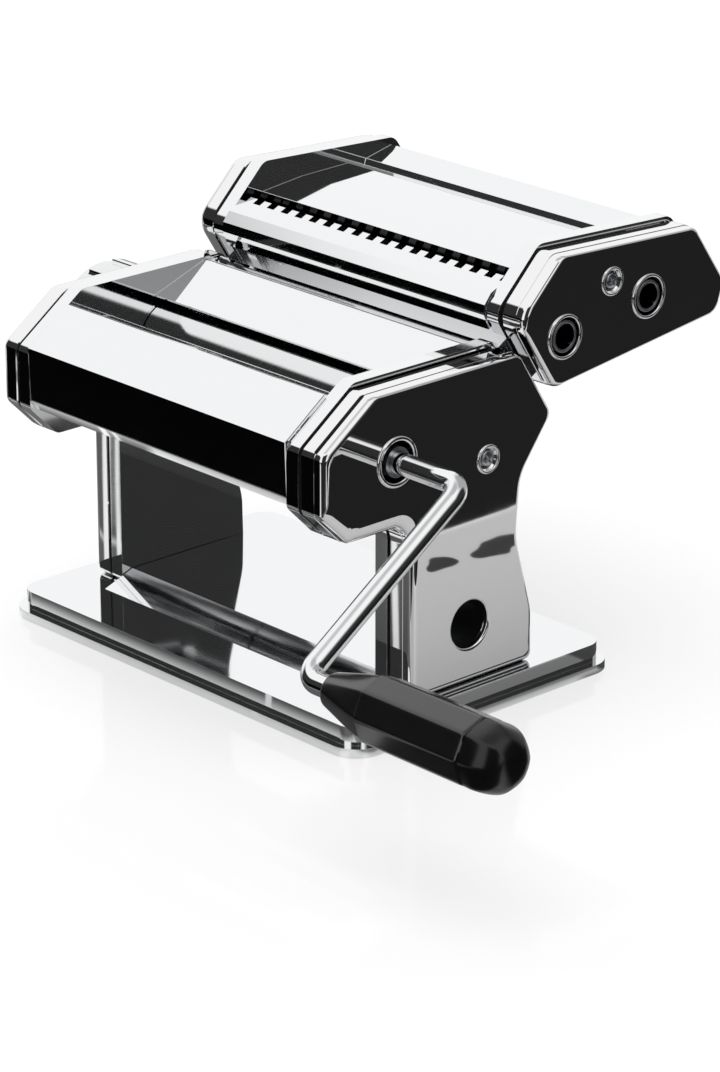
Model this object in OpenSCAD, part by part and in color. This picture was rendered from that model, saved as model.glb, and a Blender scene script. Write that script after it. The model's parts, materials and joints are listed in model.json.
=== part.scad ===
// Hand-cranked pasta roller machine with a slide-on cutter head.
// X runs along the rollers with the crank on +X, Y runs to the back, Z is up.
// The origin is the centre of the base's underside. Millimetres.

/* [Rollers] */
// Width of the dough sheet, between the two flanks
sheet_w = 150; // [120:5:200]
// Radius of each smooth roller
roller_r = 16; // [13:0.5:16]
// Play between a roller's end and the flank
roller_end_gap = 0.5; // [0.2:0.1:1]
// Widest gap between the smooth rollers
gap_max = 3; // [2.5:0.1:3.2]
// Narrowest gap between the smooth rollers
gap_min = 0.5; // [0.3:0.1:0.8]
// Radius of the drive roller's shaft
drive_shaft_r = 6; // [5.5:0.1:6.2]
// Distance of the drive axis in front of the origin
drive_y = 40.8; // [39:0.2:43]
// Height of the roller axes
roller_z = 109.6; // [108:0.2:112]

/* [Base] */
// Width of the base
base_w = 207; // [205:1:240]
// Depth of the base
base_d = 140; // [120:1:170]
// Height of the base
base_h = 11; // [9:0.5:14]
// Thickness of the pressed base sheet
base_t = 1.2; // [0.8:0.1:2]
// Width of the low step round the base
step_w = 3.4; // [2:0.1:5]
// Height of the base's raised middle over its top
ramp_h = 5.2; // [4:0.1:6.5]
// Height of the low step round the base
step_h = 3.7; // [3:0.1:5]
// Corner radius of the base
base_r = 12; // [8:1:20]
// Radius of a rubber foot
foot_r = 8; // [5:0.5:10]
// Distance of a foot's centre from the base's edges
foot_inset = 19; // [14:1:22]

/* [Side housings] */
// Thickness of the flanks' steel plate
plate_t = 1.5; // [1.2:0.1:2]
// Width of the flanks' outer rim
rim_w = 6.5; // [6:0.1:8]
// Thickness of the flanks' rim
rim_t = 1.2; // [0.8:0.1:1.4]
// Width of the shadow groove between flank and cover
groove_w = 2.7; // [1.5:0.1:4]
// Depth of the shadow groove
groove_d = 3; // [2:0.1:3.5]
// Width of the right cover
right_cover_w = 10.8; // [10:0.2:14]
// Width of the left cover
left_cover_w = 7.8; // [7.4:0.2:11]
// Wall of the covers
cover_t = 2.2; // [1.5:0.1:2.6]
// Radius of the covers' outer edge
cover_edge_r = 2.5; // [1:0.1:3]
// Height of the main housing
head_top_z = 139; // [138:0.5:142]
// Height of the head's underside in front of the leg
head_low_z = 82.5; // [80:0.5:84]
// Distance of the head's front face in front of the origin
head_front_y = 77.5; // [76:0.5:80]
// Distance of the leg's front edge in front of the origin
leg_front_y = 33; // [30:0.5:36]
// Distance of the leg's rear edge behind the origin
leg_rear_y = 32; // [30:0.5:36]
// Radius of the clamp hole in the right leg
clamp_r = 9.5; // [8:0.5:10.5]
// Depth of the clamp hole's collar
clamp_len = 9.5; // [7:0.5:10]
// Height of the clamp hole
clamp_z = 34.8; // [30:0.5:40]

/* [Sheet metal] */
// Thickness of the chromed panels
panel_t = 1.2; // [0.8:0.1:1.6]
// Thickness of the roller scrapers
scraper_t = 1.6; // [1:0.1:2.2]
// Clearance between a scraper and its roller
scraper_gap = 0.5; // [0.4:0.1:1.2]
// Radius of the tie rods in the main housing
tie_r = 3; // [2.5:0.1:3.5]

/* [Crank] */
// Radius of the crank's rod
rod_r = 4.25; // [3.5:0.05:4.4]
// Side of the square tip on the rod
tip_w = 5.8; // [4.5:0.1:5.9]
// Length of the square tip
tip_len = 8; // [6:0.5:9]
// Depth of the rod in the socket
socket_len = 17; // [14:0.5:18]
// Distance from the machine's middle to the crank's arm
arm_x = 130; // [124:1:150]
// Length of the crank's arm
arm_len = 94; // [70:1:95]
// Angle of the arm below level, towards the front
arm_angle = 34.4; // [0:0.2:60]
// Bend radius at the rod's centre line
bend_r = 7.3; // [6:0.1:10]
// Length of the grip with its cap
grip_len = 92; // [70:1:110]
// Radius of the grip's inner end
grip_neck_r = 6.6; // [6.4:0.1:8]
// Radius where the grip's cone ends
grip_cone_r = 12.6; // [10:0.1:13]
// Largest radius of the grip
grip_r = 13.5; // [12.6:0.1:13.6]
// Length of the grip's cone
grip_cone_len = 25; // [15:1:30]
// Length of the grip's cap
cap_len = 16; // [13:0.5:20]
// Play between the grip and the rod, on the radius
grip_play = 0.1; // [0.05:0.01:0.1]

/* [Thickness knob] */
// Radius of the knob
knob_r = 24; // [22.5:0.5:28]
// Width of the knob
knob_w = 21; // [20:0.5:26]
// Radius of the numbered dial under the knob
dial_r = 21; // [20:0.5:22]
// Thickness of the dial
dial_t = 1.4; // [1:0.1:2]
// Gap between the dial and the knob
knob_gap = 0.6; // [0.4:0.1:1]
// How far the knob pulls out
knob_pull = 5; // [3:0.5:5]
// Radius of the index pin
index_r = 1.5; // [1:0.1:1.8]
// Radius of the circle that the index pin runs on
index_circle_r = 17; // [15:0.5:17.5]
// Radius of the eccentric part of the thickness shaft
eccentric_r = 5.5; // [5.4:0.1:5.8]
// Radius of the thickness shaft's journals
journal_r = 4; // [3.5:0.1:4]

/* [Gears] */
// Teeth on each roller gear
roller_teeth = 12; // [12:1:12]
// Tip radius of the roller gears
roller_gear_tip_r = 18.2; // [17.9:0.1:18.4]
// Root radius of the roller gears
roller_gear_root_r = 13.4; // [13:0.1:13.6]
// Width of the roller gears
roller_gear_w = 8; // [6:0.5:8.5]
// Teeth on each cutter gear
cutter_teeth = 10; // [10:1:10]
// Tip radius of the cutter gears
cutter_gear_tip_r = 9.6; // [9.4:0.1:9.7]
// Root radius of the cutter gears
cutter_gear_root_r = 6.4; // [6.3:0.05:6.5]
// Width of the cutter gears
cutter_gear_w = 6; // [4:0.5:7]

/* [Cutter head] */
// Distance of the wide cutter's driven roller up the slanted back
wide_driver_s = 22.2; // [21:0.1:24]
// Distance of that roller off the slanted back
wide_driver_off = 19.7; // [19:0.1:21]
// Distance from the wide driven roller to the fine one
driver_spacing = 45.4; // [44:0.1:48]
// Rise from the wide driven roller to the fine one
driver_rise = 6.4; // [5:0.1:7]
// Height of the cutter head's top over the wide pair
head_over = 15.1; // [14:0.1:18]
// Depth of the cutter head behind the fine pair
head_behind = 20.1; // [18:0.1:24]
// Gap between the cutter head and the slanted back of the machine
cutter_gap = 4.8; // [4.6:0.1:5.4]
// Outer radius of the cutting discs
disc_r = 9.2; // [9:0.05:9.3]
// Radius between the discs
disc_root_r = 6.7; // [6.4:0.05:6.8]
// Distance between the axes of a cutting pair
cutter_pair = 16.4; // [16.3:0.05:16.6]
// Length of the guide teeth on the cutter head's front sheet
guide_tooth_len = 3; // [2:0.1:3.4]
// Number of wide ribbons
wide_count = 18; // [14:1:20]
// Number of fine ribbons
fine_count = 36; // [30:1:40]
// Side play of a disc in its groove
disc_play = 0.25; // [0.2:0.01:0.3]
// Radius of the tie rods in the cutter head
cutter_tie_r = 2.5; // [2:0.1:3]
// Radius of the cutter followers' shafts
follower_shaft_r = 4; // [3.5:0.1:4.2]
// Thickness of the combs
comb_t = 1; // [0.8:0.1:1.2]
// Clearance of a comb's fingers at each side
comb_play = 0.5; // [0.4:0.05:0.6]
// Clearance between comb and roller core
comb_gap = 0.4; // [0.3:0.05:0.5]
// How far the cutter head slides to come off
rail_len = 22; // [16:1:24]

/* [Screws] */
// Radius of the cover screws' heads
screw_head_r = 4.2; // [3.5:0.1:4.4]
// Radius of the cover screws' threads
screw_r = 1.6; // [1.2:0.1:2]
// Radius of the posts the cover screws go into
post_r = 3.5; // [3:0.1:3.8]
// Outer radius of the raised ring round a cover screw
screw_ring_r = 5.8; // [5.4:0.1:6.4]
// Radius of the base screws
base_screw_r = 1.2; // [1:0.1:1.3]

/* [Fits] */
// Running fit between shaft and bush, on the radius
run_fit = 0.05; // [0.03:0.01:0.08]
// Sliding fit between the crank's rod and its socket
crank_fit = 0.1; // [0.05:0.01:0.1]
// Clearance round the cutter head's rail
rail_play = 0.3; // [0.2:0.05:0.35]
// Clearance of a screw in its hole
hole_play = 0.4; // [0.2:0.05:0.5]

/* [Hidden] */
$fn = 64;
cut = 1;                                   // how far a cut runs past a face
arc_steps = 6;                             // facets in each rounded corner

// Places along X
flank_x = sheet_w / 2;                     // inner face of a flank
plate_x = flank_x + plate_t;               // outer face of its plate
rim_x = flank_x + rim_w;                   // outer edge of its rim
ledge_x = rim_x - plate_t;                 // inner side of the ledge that closes the rim
cover_x = rim_x + groove_w;                // inner edge of a cover
right_x = cover_x + right_cover_w;         // outer face of the right cover
left_x = cover_x + left_cover_w;           // outer face of the left cover
roller_x = flank_x - roller_end_gap;       // end of a roller
gear_x = plate_x + 1;                      // inner face of the gears
shell_lip = groove_d + rim_t;              // how far the spigot's inside lies from the outline
lip_w = 1.5;                               // width of a cover's inner lip

// Roller axes
drive = [-drive_y, roller_z];
offset_r = (gap_max - gap_min) / 2;        // throw of the eccentric shaft
knob_axis = drive + [2 * roller_r + (gap_max + gap_min) / 2, 0];
movable = knob_axis + [offset_r, 0];
roller_bore_r = eccentric_r + 2.5;
neck_r = roller_bore_r + 2;                // neck that carries the movable gear
neck_end = gear_x + roller_gear_w + 0.5;
eccentric_end = neck_end + 0.3;
gear_tip_w = 1.6;
gear_root_w = 4.2;
gear_phase = 16;
bush_r = 9;
bush_wall = 3;
shaft_end = gear_x + roller_gear_w + 2;

// Main housing: [y, z, corner radius], clockwise from the lower front corner
slant_top = [22.5, head_top_z];
slant_low = [41, 109.5];
main_outline = [
    [-head_front_y, head_low_z + 13, 4],
    [-head_front_y, head_top_z - 19.5, 5],
    [-head_front_y + 27.2, head_top_z, 6],
    [slant_top[0], slant_top[1], 5],
    [slant_low[0], slant_low[1], 4],
    [25, 88, 18],
    [23, 64, 30],
    [leg_rear_y - 0.5, base_h + 21, 25],
    [leg_rear_y, base_h, 3],
    [-leg_front_y, base_h, 3],
    [-leg_front_y, head_low_z, 9],
    [-head_front_y + 13, head_low_z, 4],
];

// Direction of the slanted back, and the normal that points away from it
slant = unit(slant_top - slant_low);
away = [slant[1], -slant[0]];

// Cutter head: its slanted front edge runs parallel to the machine's back
wide_driver_axis = along(slant_low + wide_driver_off * away, slant, wide_driver_s);
wide_tilt = 35;
wide_follower_axis = wide_driver_axis + cutter_pair * [cos(wide_tilt), sin(wide_tilt)];
fine_driver_axis = wide_driver_axis + [driver_spacing, driver_rise];
fine_tilt = 20;
fine_follower_axis = fine_driver_axis + cutter_pair * [cos(fine_tilt), sin(fine_tilt)];
cutter_top_z = wide_follower_axis[1] + disc_r + head_over;
cutter_back_y = fine_follower_axis[0] + disc_r + head_behind;

// The front tie rod keeps its nut clear of the wide driven gear
nut_r = 4;
nut_w = 2.5;
nut_play = 0.35;
front_rod_off = cutter_gap + 7;
front_rod_reach = cutter_gear_tip_r + nut_r + nut_play;
front_rod_s = wide_driver_s - sqrt(pow(front_rod_reach, 2) - pow(wide_driver_off - front_rod_off, 2));
cutter_rod_axes = [
    along(slant_low + front_rod_off * away, slant, front_rod_s),
    wide_driver_axis + [30.1, -4.8],
    fine_driver_axis + [30.7, -8.2],
];
cutter_post_axis = wide_driver_axis + [25.3, 16.6];
cutter_low_s = front_rod_s - 3.1;          // distance of its lower corner up the slant
cutter_high_s = wide_driver_s + 17.9;      // distance of its front corner up the slant
cutter_bottom = along(slant_low + cutter_gap * away, slant, cutter_low_s);
cutter_front = along(slant_low + cutter_gap * away, slant, cutter_high_s);
cutter_outline = [
    [cutter_bottom[0], cutter_bottom[1], 5],
    [cutter_front[0], cutter_front[1], 4],
    [cutter_front[0] - 0.3, cutter_front[1] + 5, 8],
    [wide_driver_axis[0] - 0.9, cutter_top_z, 6],
    [fine_follower_axis[0] + disc_r + 1.1, cutter_top_z - 3.2, 6],
    [cutter_back_y, fine_driver_axis[1] - 3.2, 7],
    [cutter_back_y - 4.5, fine_driver_axis[1] - 15.7, 7],
];
cutter_gear_tip_w = 1.2;
cutter_gear_root_w = 2.6;
follower_bush_r = follower_shaft_r + 2;

// Main housing's rods and posts
rod_axes = [[-66, 100], [17, 95]];
stud_r = 2;
right_post_axis = [6.1, 99.4];
left_post_axis = [25, 106];
clamp_axis = [-2.4, clamp_z];

// Rails that hold the cutter head
rail_mid_x = (plate_x + ledge_x) / 2;
rail_web_w = 1.3;
rail_head_w = 2.7;
rail_head_t = 1.2;
rail_top = 28;                             // distance of the rail's top end up the slant

// Crank
socket_r = rod_r + crank_fit;
socket_end = right_x + 0.5;
socket_depth = socket_len + 1;
notch_w = 1.4;                             // notches in the rim of a cutter's socket
rod_end_x = socket_end - socket_len;
arm_dir = [0, -cos(arm_angle), -sin(arm_angle)];
grip_x = arm_x + bend_r + 7.7;
grip_end_x = grip_x + grip_len;
cap_x = grip_end_x - cap_len;
clip_w = 1.5;
clip_r = rod_r + 2;
pin_end_x = cap_x + 6;
grip_bore_r = rod_r + grip_play;
grip_axis = drive + arm_len * [arm_dir[1], arm_dir[2]];

// Knob, measured outwards from the machine's middle on the left side
dial_x = left_x + dial_t;
knob_x = dial_x + knob_gap;
knob_end_x = knob_x + knob_w;
knob_floor_x = knob_x + 5.5;
washer_x = knob_end_x - 5;
washer_w = 1.2;
washer_r = 7;
flat_d = journal_r * 0.8;                  // distance of the flat from the shaft's axis
knob_cavity_r = 8;
spring_r = 6.2;
spring_wire_r = 0.7;
spring_turns = 4;

// Helpers -----------------------------------------------------------------
function unit(v) = v / norm(v);
function along(p, d, s) = p + s * d;
function turn_side(v) = [v[1], -v[0]];     // v turned a quarter to the right
function xy(p) = [p[0], p[1]];
function signed(a) = a > 180 ? a - 360 : a < -180 ? a + 360 : a;

// Points of the arc that rounds the corner p between a and b
function corner(a, p, b, r) =
    let (u = unit(a - p), v = unit(b - p),
         half = acos(max(-1, min(1, u * v))) / 2,
         c = p + unit(u + v) * r / sin(half),
         s = p + u * r / tan(half) - c,
         e = p + v * r / tan(half) - c,
         a0 = atan2(s[1], s[0]),
         sweep = signed(atan2(e[1], e[0]) - a0))
    [for (i = [0:arc_steps]) c + r * [cos(a0 + sweep * i / arc_steps), sin(a0 + sweep * i / arc_steps)]];

function rounded(o) =
    let (n = len(o))
    [for (i = [0:n - 1]) each corner(xy(o[(i + n - 1) % n]), xy(o[i]), xy(o[(i + 1) % n]), o[i][2])];

// The same clockwise outline, moved inwards by d
function inset(o, d) =
    let (n = len(o))
    [for (i = [0:n - 1])
        let (p = xy(o[i]),
             u = unit(p - xy(o[(i + n - 1) % n])),
             v = unit(xy(o[(i + 1) % n]) - p),
             nu = turn_side(u), nv = turn_side(v),
             q = p + d * (nu + nv) / (1 + nu * nv),
             outer = u[0] * v[1] - u[1] * v[0] < 0)
        [q[0], q[1], outer ? max(0.6, o[i][2] - d) : o[i][2] + d]];

// A bent sheet: the path and the same path moved to its right by t
function sheet(path, t) =
    let (n = len(path),
         other = [for (i = [0:n - 1])
             let (u = unit(i > 0 ? path[i] - path[i - 1] : path[1] - path[0]),
                  v = unit(i < n - 1 ? path[i + 1] - path[i] : path[n - 1] - path[n - 2]),
                  nu = turn_side(u), nv = turn_side(v))
             path[i] + t * (nu + nv) / (1 + nu * nv)])
    concat(path, [for (i = [n - 1:-1:0]) other[i]]);

// Draws the Y-Z shape given as children from x0 to x1
module along_x(x0, x1) {
    translate([x0, 0, 0]) rotate([90, 0, 90]) linear_extrude(x1 - x0) children();
}

module rod_x(x0, x1, axis, r) {
    translate([x0, axis[0], axis[1]]) rotate([0, 90, 0]) cylinder(h = x1 - x0, r = r);
}

module tube_x(x0, x1, axis, r, bore) {
    difference() {
        rod_x(x0, x1, axis, r);
        rod_x(x0 - cut, x1 + cut, axis, bore);
    }
}

module ring_of(o, d0, d1) {
    difference() {
        polygon(rounded(inset(o, d0)));
        polygon(rounded(inset(o, d1)));
    }
}

// Flank: steel plate, outer rim, a ledge that closes it and the spigot in the groove
module flank_shell(o) {
    along_x(flank_x, plate_x) polygon(rounded(o));
    along_x(plate_x, ledge_x) ring_of(o, 0, rim_t);
    along_x(ledge_x, rim_x) ring_of(o, 0, shell_lip);
    along_x(rim_x, cover_x) ring_of(o, groove_d, shell_lip);
}

// Cover: a shell with a rounded outer edge in steps, and a lip that seats on the spigot
module cover_shell(o, w) {
    steps = 4;
    difference() {
        union() {
            along_x(cover_x, cover_x + w - cover_edge_r) polygon(rounded(o));
            for (i = [1:steps]) {
                a0 = 90 * (i - 1) / steps;
                a1 = 90 * i / steps;
                along_x(cover_x + w - cover_edge_r + cover_edge_r * sin(a0),
                        cover_x + w - cover_edge_r + cover_edge_r * sin(a1))
                    polygon(rounded(inset(o, cover_edge_r * (1 - cos((a0 + a1) / 2)))));
            }
        }
        along_x(cover_x - cut, cover_x + lip_w + 0.01) polygon(rounded(inset(o, shell_lip + 0.6)));
        along_x(cover_x + lip_w, cover_x + w - cover_t) polygon(rounded(inset(o, cover_t + cover_edge_r / 2)));
    }
}

// Spur gear with straight-sided teeth, drawn round the origin
module spur(teeth, tip_r, root_r, tip_w, root_w, phase) {
    sunk = 1.5;
    inner_w = root_w + (root_w - tip_w) * sunk / (tip_r - root_r);
    circle(r = root_r);
    for (k = [0:teeth - 1])
        rotate(phase + k * 360 / teeth)
            polygon([
                [root_r - sunk, -inner_w / 2], [tip_r, -tip_w / 2],
                [tip_r, tip_w / 2], [root_r - sunk, inner_w / 2],
            ]);
}

module gear_at(x0, w, axis, bore, teeth, tip_r, root_r, tip_w, root_w, phase) {
    along_x(x0, x0 + w)
        translate(axis)
            difference() {
                spur(teeth, tip_r, root_r, tip_w, root_w, phase);
                circle(r = bore);
            }
}

// Socket bored into a shaft's right end for the crank: round mouth, square bottom
module crank_socket(axis) {
    rod_x(socket_end - socket_depth + tip_len + 0.8, socket_end + cut, axis, socket_r);
    side = tip_w + 2 * crank_fit;
    translate([socket_end - socket_depth, axis[0] - side / 2, axis[1] - side / 2])
        cube([socket_depth, side, side]);
}

module screw_x(face_x, axis, seat) {
    difference() {
        union() {
            rod_x(face_x, face_x + 1.6, axis, screw_head_r);
            rod_x(face_x - seat, face_x + cut / 2, axis, screw_r);
        }
        for (a = [0, 90])
            translate([face_x + 0.7, axis[0], axis[1]]) rotate([a, 0, 0])
                translate([0, -screw_head_r * 0.75, -0.5]) cube([2, screw_head_r * 1.5, 1]);
    }
}

module nut_x(x0, axis) {
    difference() {
        translate([x0, axis[0], axis[1]]) rotate([0, 90, 0]) cylinder(h = nut_w, r = nut_r, $fn = 6);
        rod_x(x0 - cut, x0 + nut_w + cut, axis, stud_r);
    }
}

module both_sides() {
    children();
    mirror([1, 0, 0]) children();
}

module base_foot(w, d, r, h) {
    linear_extrude(h) {
        square([w - 2 * r, d], center = true);
        square([w, d - 2 * r], center = true);
        for (sx = [-1, 1], sy = [-1, 1])
            translate([sx * (w / 2 - r), sy * (d / 2 - r)]) circle(r = r);
    }
}

// Base --------------------------------------------------------------------
base_screw_places = [-18, 18];
ramp_play = 0.4;

// Raised middle of the base between the legs, with a ramp along its front
module base_ramp(w, t) {
    z = base_h + ramp_h - t;
    along_x(-w + t, w - t)
        polygon([
            [-leg_front_y - 9.5 + t, base_h - base_t - t], [-leg_front_y - 9.5 + t, base_h - t],
            [-leg_front_y + 5 + t / 2, z], [leg_rear_y - 1 - t, z], [leg_rear_y + 1.5 - t, base_h - t],
            [leg_rear_y + 1.5 - t, base_h - base_t - t],
        ]);
}

module base_plate() {
    inner = 2 * step_w;
    color("silver")
        difference() {
            union() {
                base_foot(base_w, base_d, base_r, step_h);
                base_foot(base_w - inner, base_d - inner, base_r - step_w, base_h);
                base_ramp(flank_x - ramp_play, 0);
            }
            base_ramp(flank_x - ramp_play, base_t);
            translate([0, 0, -cut])
                base_foot(base_w - 2 * base_t, base_d - 2 * base_t, base_r - base_t, cut + step_h - base_t);
            translate([0, 0, -cut])
                base_foot(base_w - inner - 2 * base_t, base_d - inner - 2 * base_t,
                    base_r - step_w - base_t, cut + base_h - base_t);
            for (sx = [-1, 1], y = base_screw_places)
                translate([sx * rail_mid_x, y, 0]) cylinder(h = base_h + cut, r = base_screw_r);
        }
}

module rubber_feet() {
    color("dimgray")
        for (sx = [-1, 1], sy = [-1, 1])
            translate([sx * (base_w / 2 - foot_inset), sy * (base_d / 2 - foot_inset), 0])
                cylinder(h = base_h - base_t, r = foot_r);
}

module base_screws() {
    color("gray")
        for (sx = [-1, 1], y = base_screw_places)
            translate([sx * rail_mid_x, y, 0]) {
                translate([0, 0, base_h - base_t - 1.5]) cylinder(h = 1.5, r = base_screw_r + 1.6);
                translate([0, 0, base_h - base_t - 0.5]) cylinder(h = 9, r = base_screw_r);
            }
}

// Blocks in the foot of a leg that the base screws go into
module leg_blocks() {
    for (y = base_screw_places)
        translate([plate_x - 0.1, y - 5, base_h + 0.4]) cube([ledge_x - plate_x + 0.2, 10, 9]);
}

module leg_screw_holes() {
    for (y = base_screw_places)
        translate([rail_mid_x, y, base_h - cut]) cylinder(h = cut + 8, r = base_screw_r);
}

module stud_holes(axes) {
    for (p = axes) rod_x(flank_x - cut, plate_x + cut, p, stud_r);
}

// Flanks ------------------------------------------------------------------
module right_flank() {
    color("silver")
        difference() {
            union() {
                flank_shell(main_outline);
                leg_blocks();
            }
            rod_x(flank_x - cut, plate_x + cut, drive, bush_r);
            rod_x(flank_x - cut, plate_x + cut, knob_axis, bush_r);
            rod_x(flank_x - cut, plate_x + cut, clamp_axis, clamp_r + 0.6);
            stud_holes(rod_axes);
            leg_screw_holes();
        }
}

module left_flank() {
    color("silver") mirror([1, 0, 0])
        difference() {
            union() {
                flank_shell(main_outline);
                leg_blocks();
            }
            rod_x(flank_x - cut, plate_x + cut, drive, bush_r);
            rod_x(flank_x - cut, plate_x + cut, knob_axis, neck_r + offset_r + 0.8);
            stud_holes(rod_axes);
            leg_screw_holes();
        }
}

// Covers ------------------------------------------------------------------
module screw_boss(axis, face_x) {
    tube_x(face_x - cover_t / 2, face_x + 0.5, axis, screw_ring_r, screw_head_r + 0.3);
}

module right_cover() {
    hub_r = bush_r + 1;
    color("silver")
        difference() {
            union() {
                cover_shell(main_outline, right_cover_w);
                rod_x(right_x - clamp_len, right_x - cover_t / 2, clamp_axis, clamp_r + 2);
                screw_boss(right_post_axis, right_x);
            }
            rod_x(cover_x, right_x + cut, drive, hub_r);
            rod_x(right_x - clamp_len - cut, right_x + cut, clamp_axis, clamp_r);
            rod_x(cover_x, right_x + cut, right_post_axis, screw_r + hole_play);
        }
}

module left_cover() {
    color("silver") mirror([1, 0, 0])
        difference() {
            union() {
                cover_shell(main_outline, left_cover_w);
                rod_x(eccentric_end + 0.4, left_x - cover_t / 2, knob_axis, journal_r + 3.5);
                screw_boss(left_post_axis, left_x);
            }
            rod_x(eccentric_end, left_x + cut, knob_axis, journal_r + run_fit);
            rod_x(cover_x, left_x + cut, left_post_axis, screw_r + hole_play);
        }
}

module cover_posts() {
    color("gray") {
        difference() {
            rod_x(plate_x, right_x - cover_t, right_post_axis, post_r);
            rod_x(right_x - cover_t - 7, right_x, right_post_axis, screw_r);
        }
        mirror([1, 0, 0])
            difference() {
                rod_x(plate_x, left_x - cover_t, left_post_axis, post_r);
                rod_x(left_x - cover_t - 7, left_x, left_post_axis, screw_r);
            }
    }
}

module cover_screws() {
    color("gainsboro") {
        screw_x(right_x, right_post_axis, 8);
        mirror([1, 0, 0]) screw_x(left_x, left_post_axis, 8);
    }
}

// Panels ------------------------------------------------------------------
module panel(path) {
    along_x(-flank_x, flank_x) polygon(sheet(path, panel_t));
}

module front_panel() {
    y = -head_front_y - 0.5;
    color("silver")
        panel([[y + 3.2, head_low_z + 12.6], [y + 0.8, head_low_z + 16.6], [y, head_top_z - 18.2],
            [y + 19.4, head_top_z - 4.2]]);
}

module hopper_chute() {
    color("silver") panel([[-13, head_top_z - 10.4], [13.2, head_top_z - 1]]);
}

module rear_panel() {
    top = slant_top - 1.6 * away;
    low = slant_low - 1.6 * away;
    color("silver")
        panel([[13.6, head_top_z - 0.9], [top[0] - 0.6, head_top_z - 0.9], [low[0], low[1]], [24.2, 90]]);
}

// Scraper blade from its roller's lower side to its tie rod
module scraper(centre, angle, rod, reach) {
    edge = centre + reach * [cos(angle), sin(angle)];
    d = unit(rod - edge);
    length = norm(rod - edge) - tie_r;
    along_x(-flank_x, flank_x)
        translate(edge) rotate(atan2(d[1], d[0])) translate([0, -scraper_t / 2]) square([length, scraper_t]);
}

module front_scraper() {
    color("dimgray") scraper(drive, 215, rod_axes[0], roller_r + scraper_gap);
}

module rear_scraper() {
    color("dimgray") scraper(movable, 325, rod_axes[1], roller_r + scraper_gap);
}

module tie_rod_set(axes, r) {
    for (p = axes) {
        rod_x(-flank_x, flank_x, p, r);
        rod_x(-plate_x - nut_w - 0.5, plate_x + nut_w + 0.5, p, stud_r);
    }
}

module tie_rods() {
    color("silver") tie_rod_set(rod_axes, tie_r);
}

module tie_rod_nuts() {
    color("gray") both_sides() for (p = rod_axes) nut_x(plate_x, p);
}

// Bearings ----------------------------------------------------------------
module drive_bushes() {
    color("goldenrod") {
        tube_x(flank_x, plate_x + 5, drive, bush_r, drive_shaft_r + run_fit);
        tube_x(flank_x, plate_x + 5, knob_axis, bush_r, journal_r + run_fit);
        mirror([1, 0, 0]) tube_x(flank_x, plate_x + 0.7, drive, bush_r, drive_shaft_r + run_fit);
    }
}

module hub_ring() {
    color("silver")
        tube_x(right_x - cover_t - 1, right_x + 0.8, drive, bush_r + 1, bush_r - 1);
}

// Drive roller ------------------------------------------------------------
module drive_roller() {
    color("lightgray") tube_x(-roller_x, roller_x, drive, roller_r, drive_shaft_r);
}

module drive_shaft() {
    color("silver")
        difference() {
            rod_x(-shaft_end, socket_end, drive, drive_shaft_r);
            crank_socket(drive);
        }
}

module drive_gear() {
    color("gray")
        gear_at(-gear_x - roller_gear_w, roller_gear_w, drive, drive_shaft_r, roller_teeth,
            roller_gear_tip_r, roller_gear_root_r, gear_tip_w, gear_root_w, 0);
}

// Movable roller ----------------------------------------------------------
module movable_roller() {
    color("lightgray")
        difference() {
            union() {
                rod_x(-roller_x, roller_x, movable, roller_r);
                rod_x(-neck_end, 0, movable, neck_r);
            }
            rod_x(-neck_end - cut, roller_x + cut, movable, roller_bore_r);
        }
}

module movable_gear() {
    color("gray")
        gear_at(-gear_x - roller_gear_w, roller_gear_w, movable, neck_r, roller_teeth,
            roller_gear_tip_r, roller_gear_root_r, gear_tip_w, gear_root_w, 180 + gear_phase);
}

module roller_bushes() {
    color("goldenrod") {
        tube_x(roller_x - 15, roller_x, movable, roller_bore_r - run_fit, eccentric_r + run_fit);
        tube_x(-neck_end, -roller_x + 3, movable, roller_bore_r - run_fit, eccentric_r + run_fit);
    }
}

module thickness_shaft() {
    color("silver")
        difference() {
            union() {
                rod_x(-eccentric_end, roller_x - 0.2, movable, eccentric_r);
                rod_x(roller_x - 1, plate_x + 6, knob_axis, journal_r);
                rod_x(-washer_x, -eccentric_end + 1, knob_axis, journal_r);
            }
            translate([-washer_x - cut, knob_axis[0] - journal_r - cut, knob_axis[1] + flat_d])
                cube([washer_x - knob_x + cut, 2 * journal_r + 2 * cut, journal_r]);
            rod_x(-washer_x - cut, -washer_x + 6, knob_axis, screw_r);
        }
}

module knob() {
    ribs = 12;
    color("gainsboro") mirror([1, 0, 0])
        difference() {
            union() {
                rod_x(knob_x, knob_end_x, knob_axis, knob_r - 1.5);
                along_x(knob_x + 4, knob_end_x - 3) translate(knob_axis)
                    difference() {
                        circle(r = knob_r);
                        for (k = [0:ribs - 1])
                            rotate(k * 360 / ribs) translate([knob_r + 1.2, 0]) circle(r = 3);
                    }
            }
            difference() {
                rod_x(knob_x - cut, knob_floor_x + cut, knob_axis, journal_r + 2 * run_fit);
                translate([knob_x - cut, knob_axis[0] - knob_r, knob_axis[1] + flat_d + 2 * run_fit])
                    cube([knob_floor_x - knob_x + 3 * cut, 2 * knob_r, knob_r]);
            }
            rod_x(knob_floor_x, knob_end_x + cut, knob_axis, knob_cavity_r);
        }
}

module index_pin() {
    place = knob_axis + [index_circle_r, 0];
    color("gray") mirror([1, 0, 0]) rod_x(left_x + 0.3, knob_x, place, index_r);
}

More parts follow.
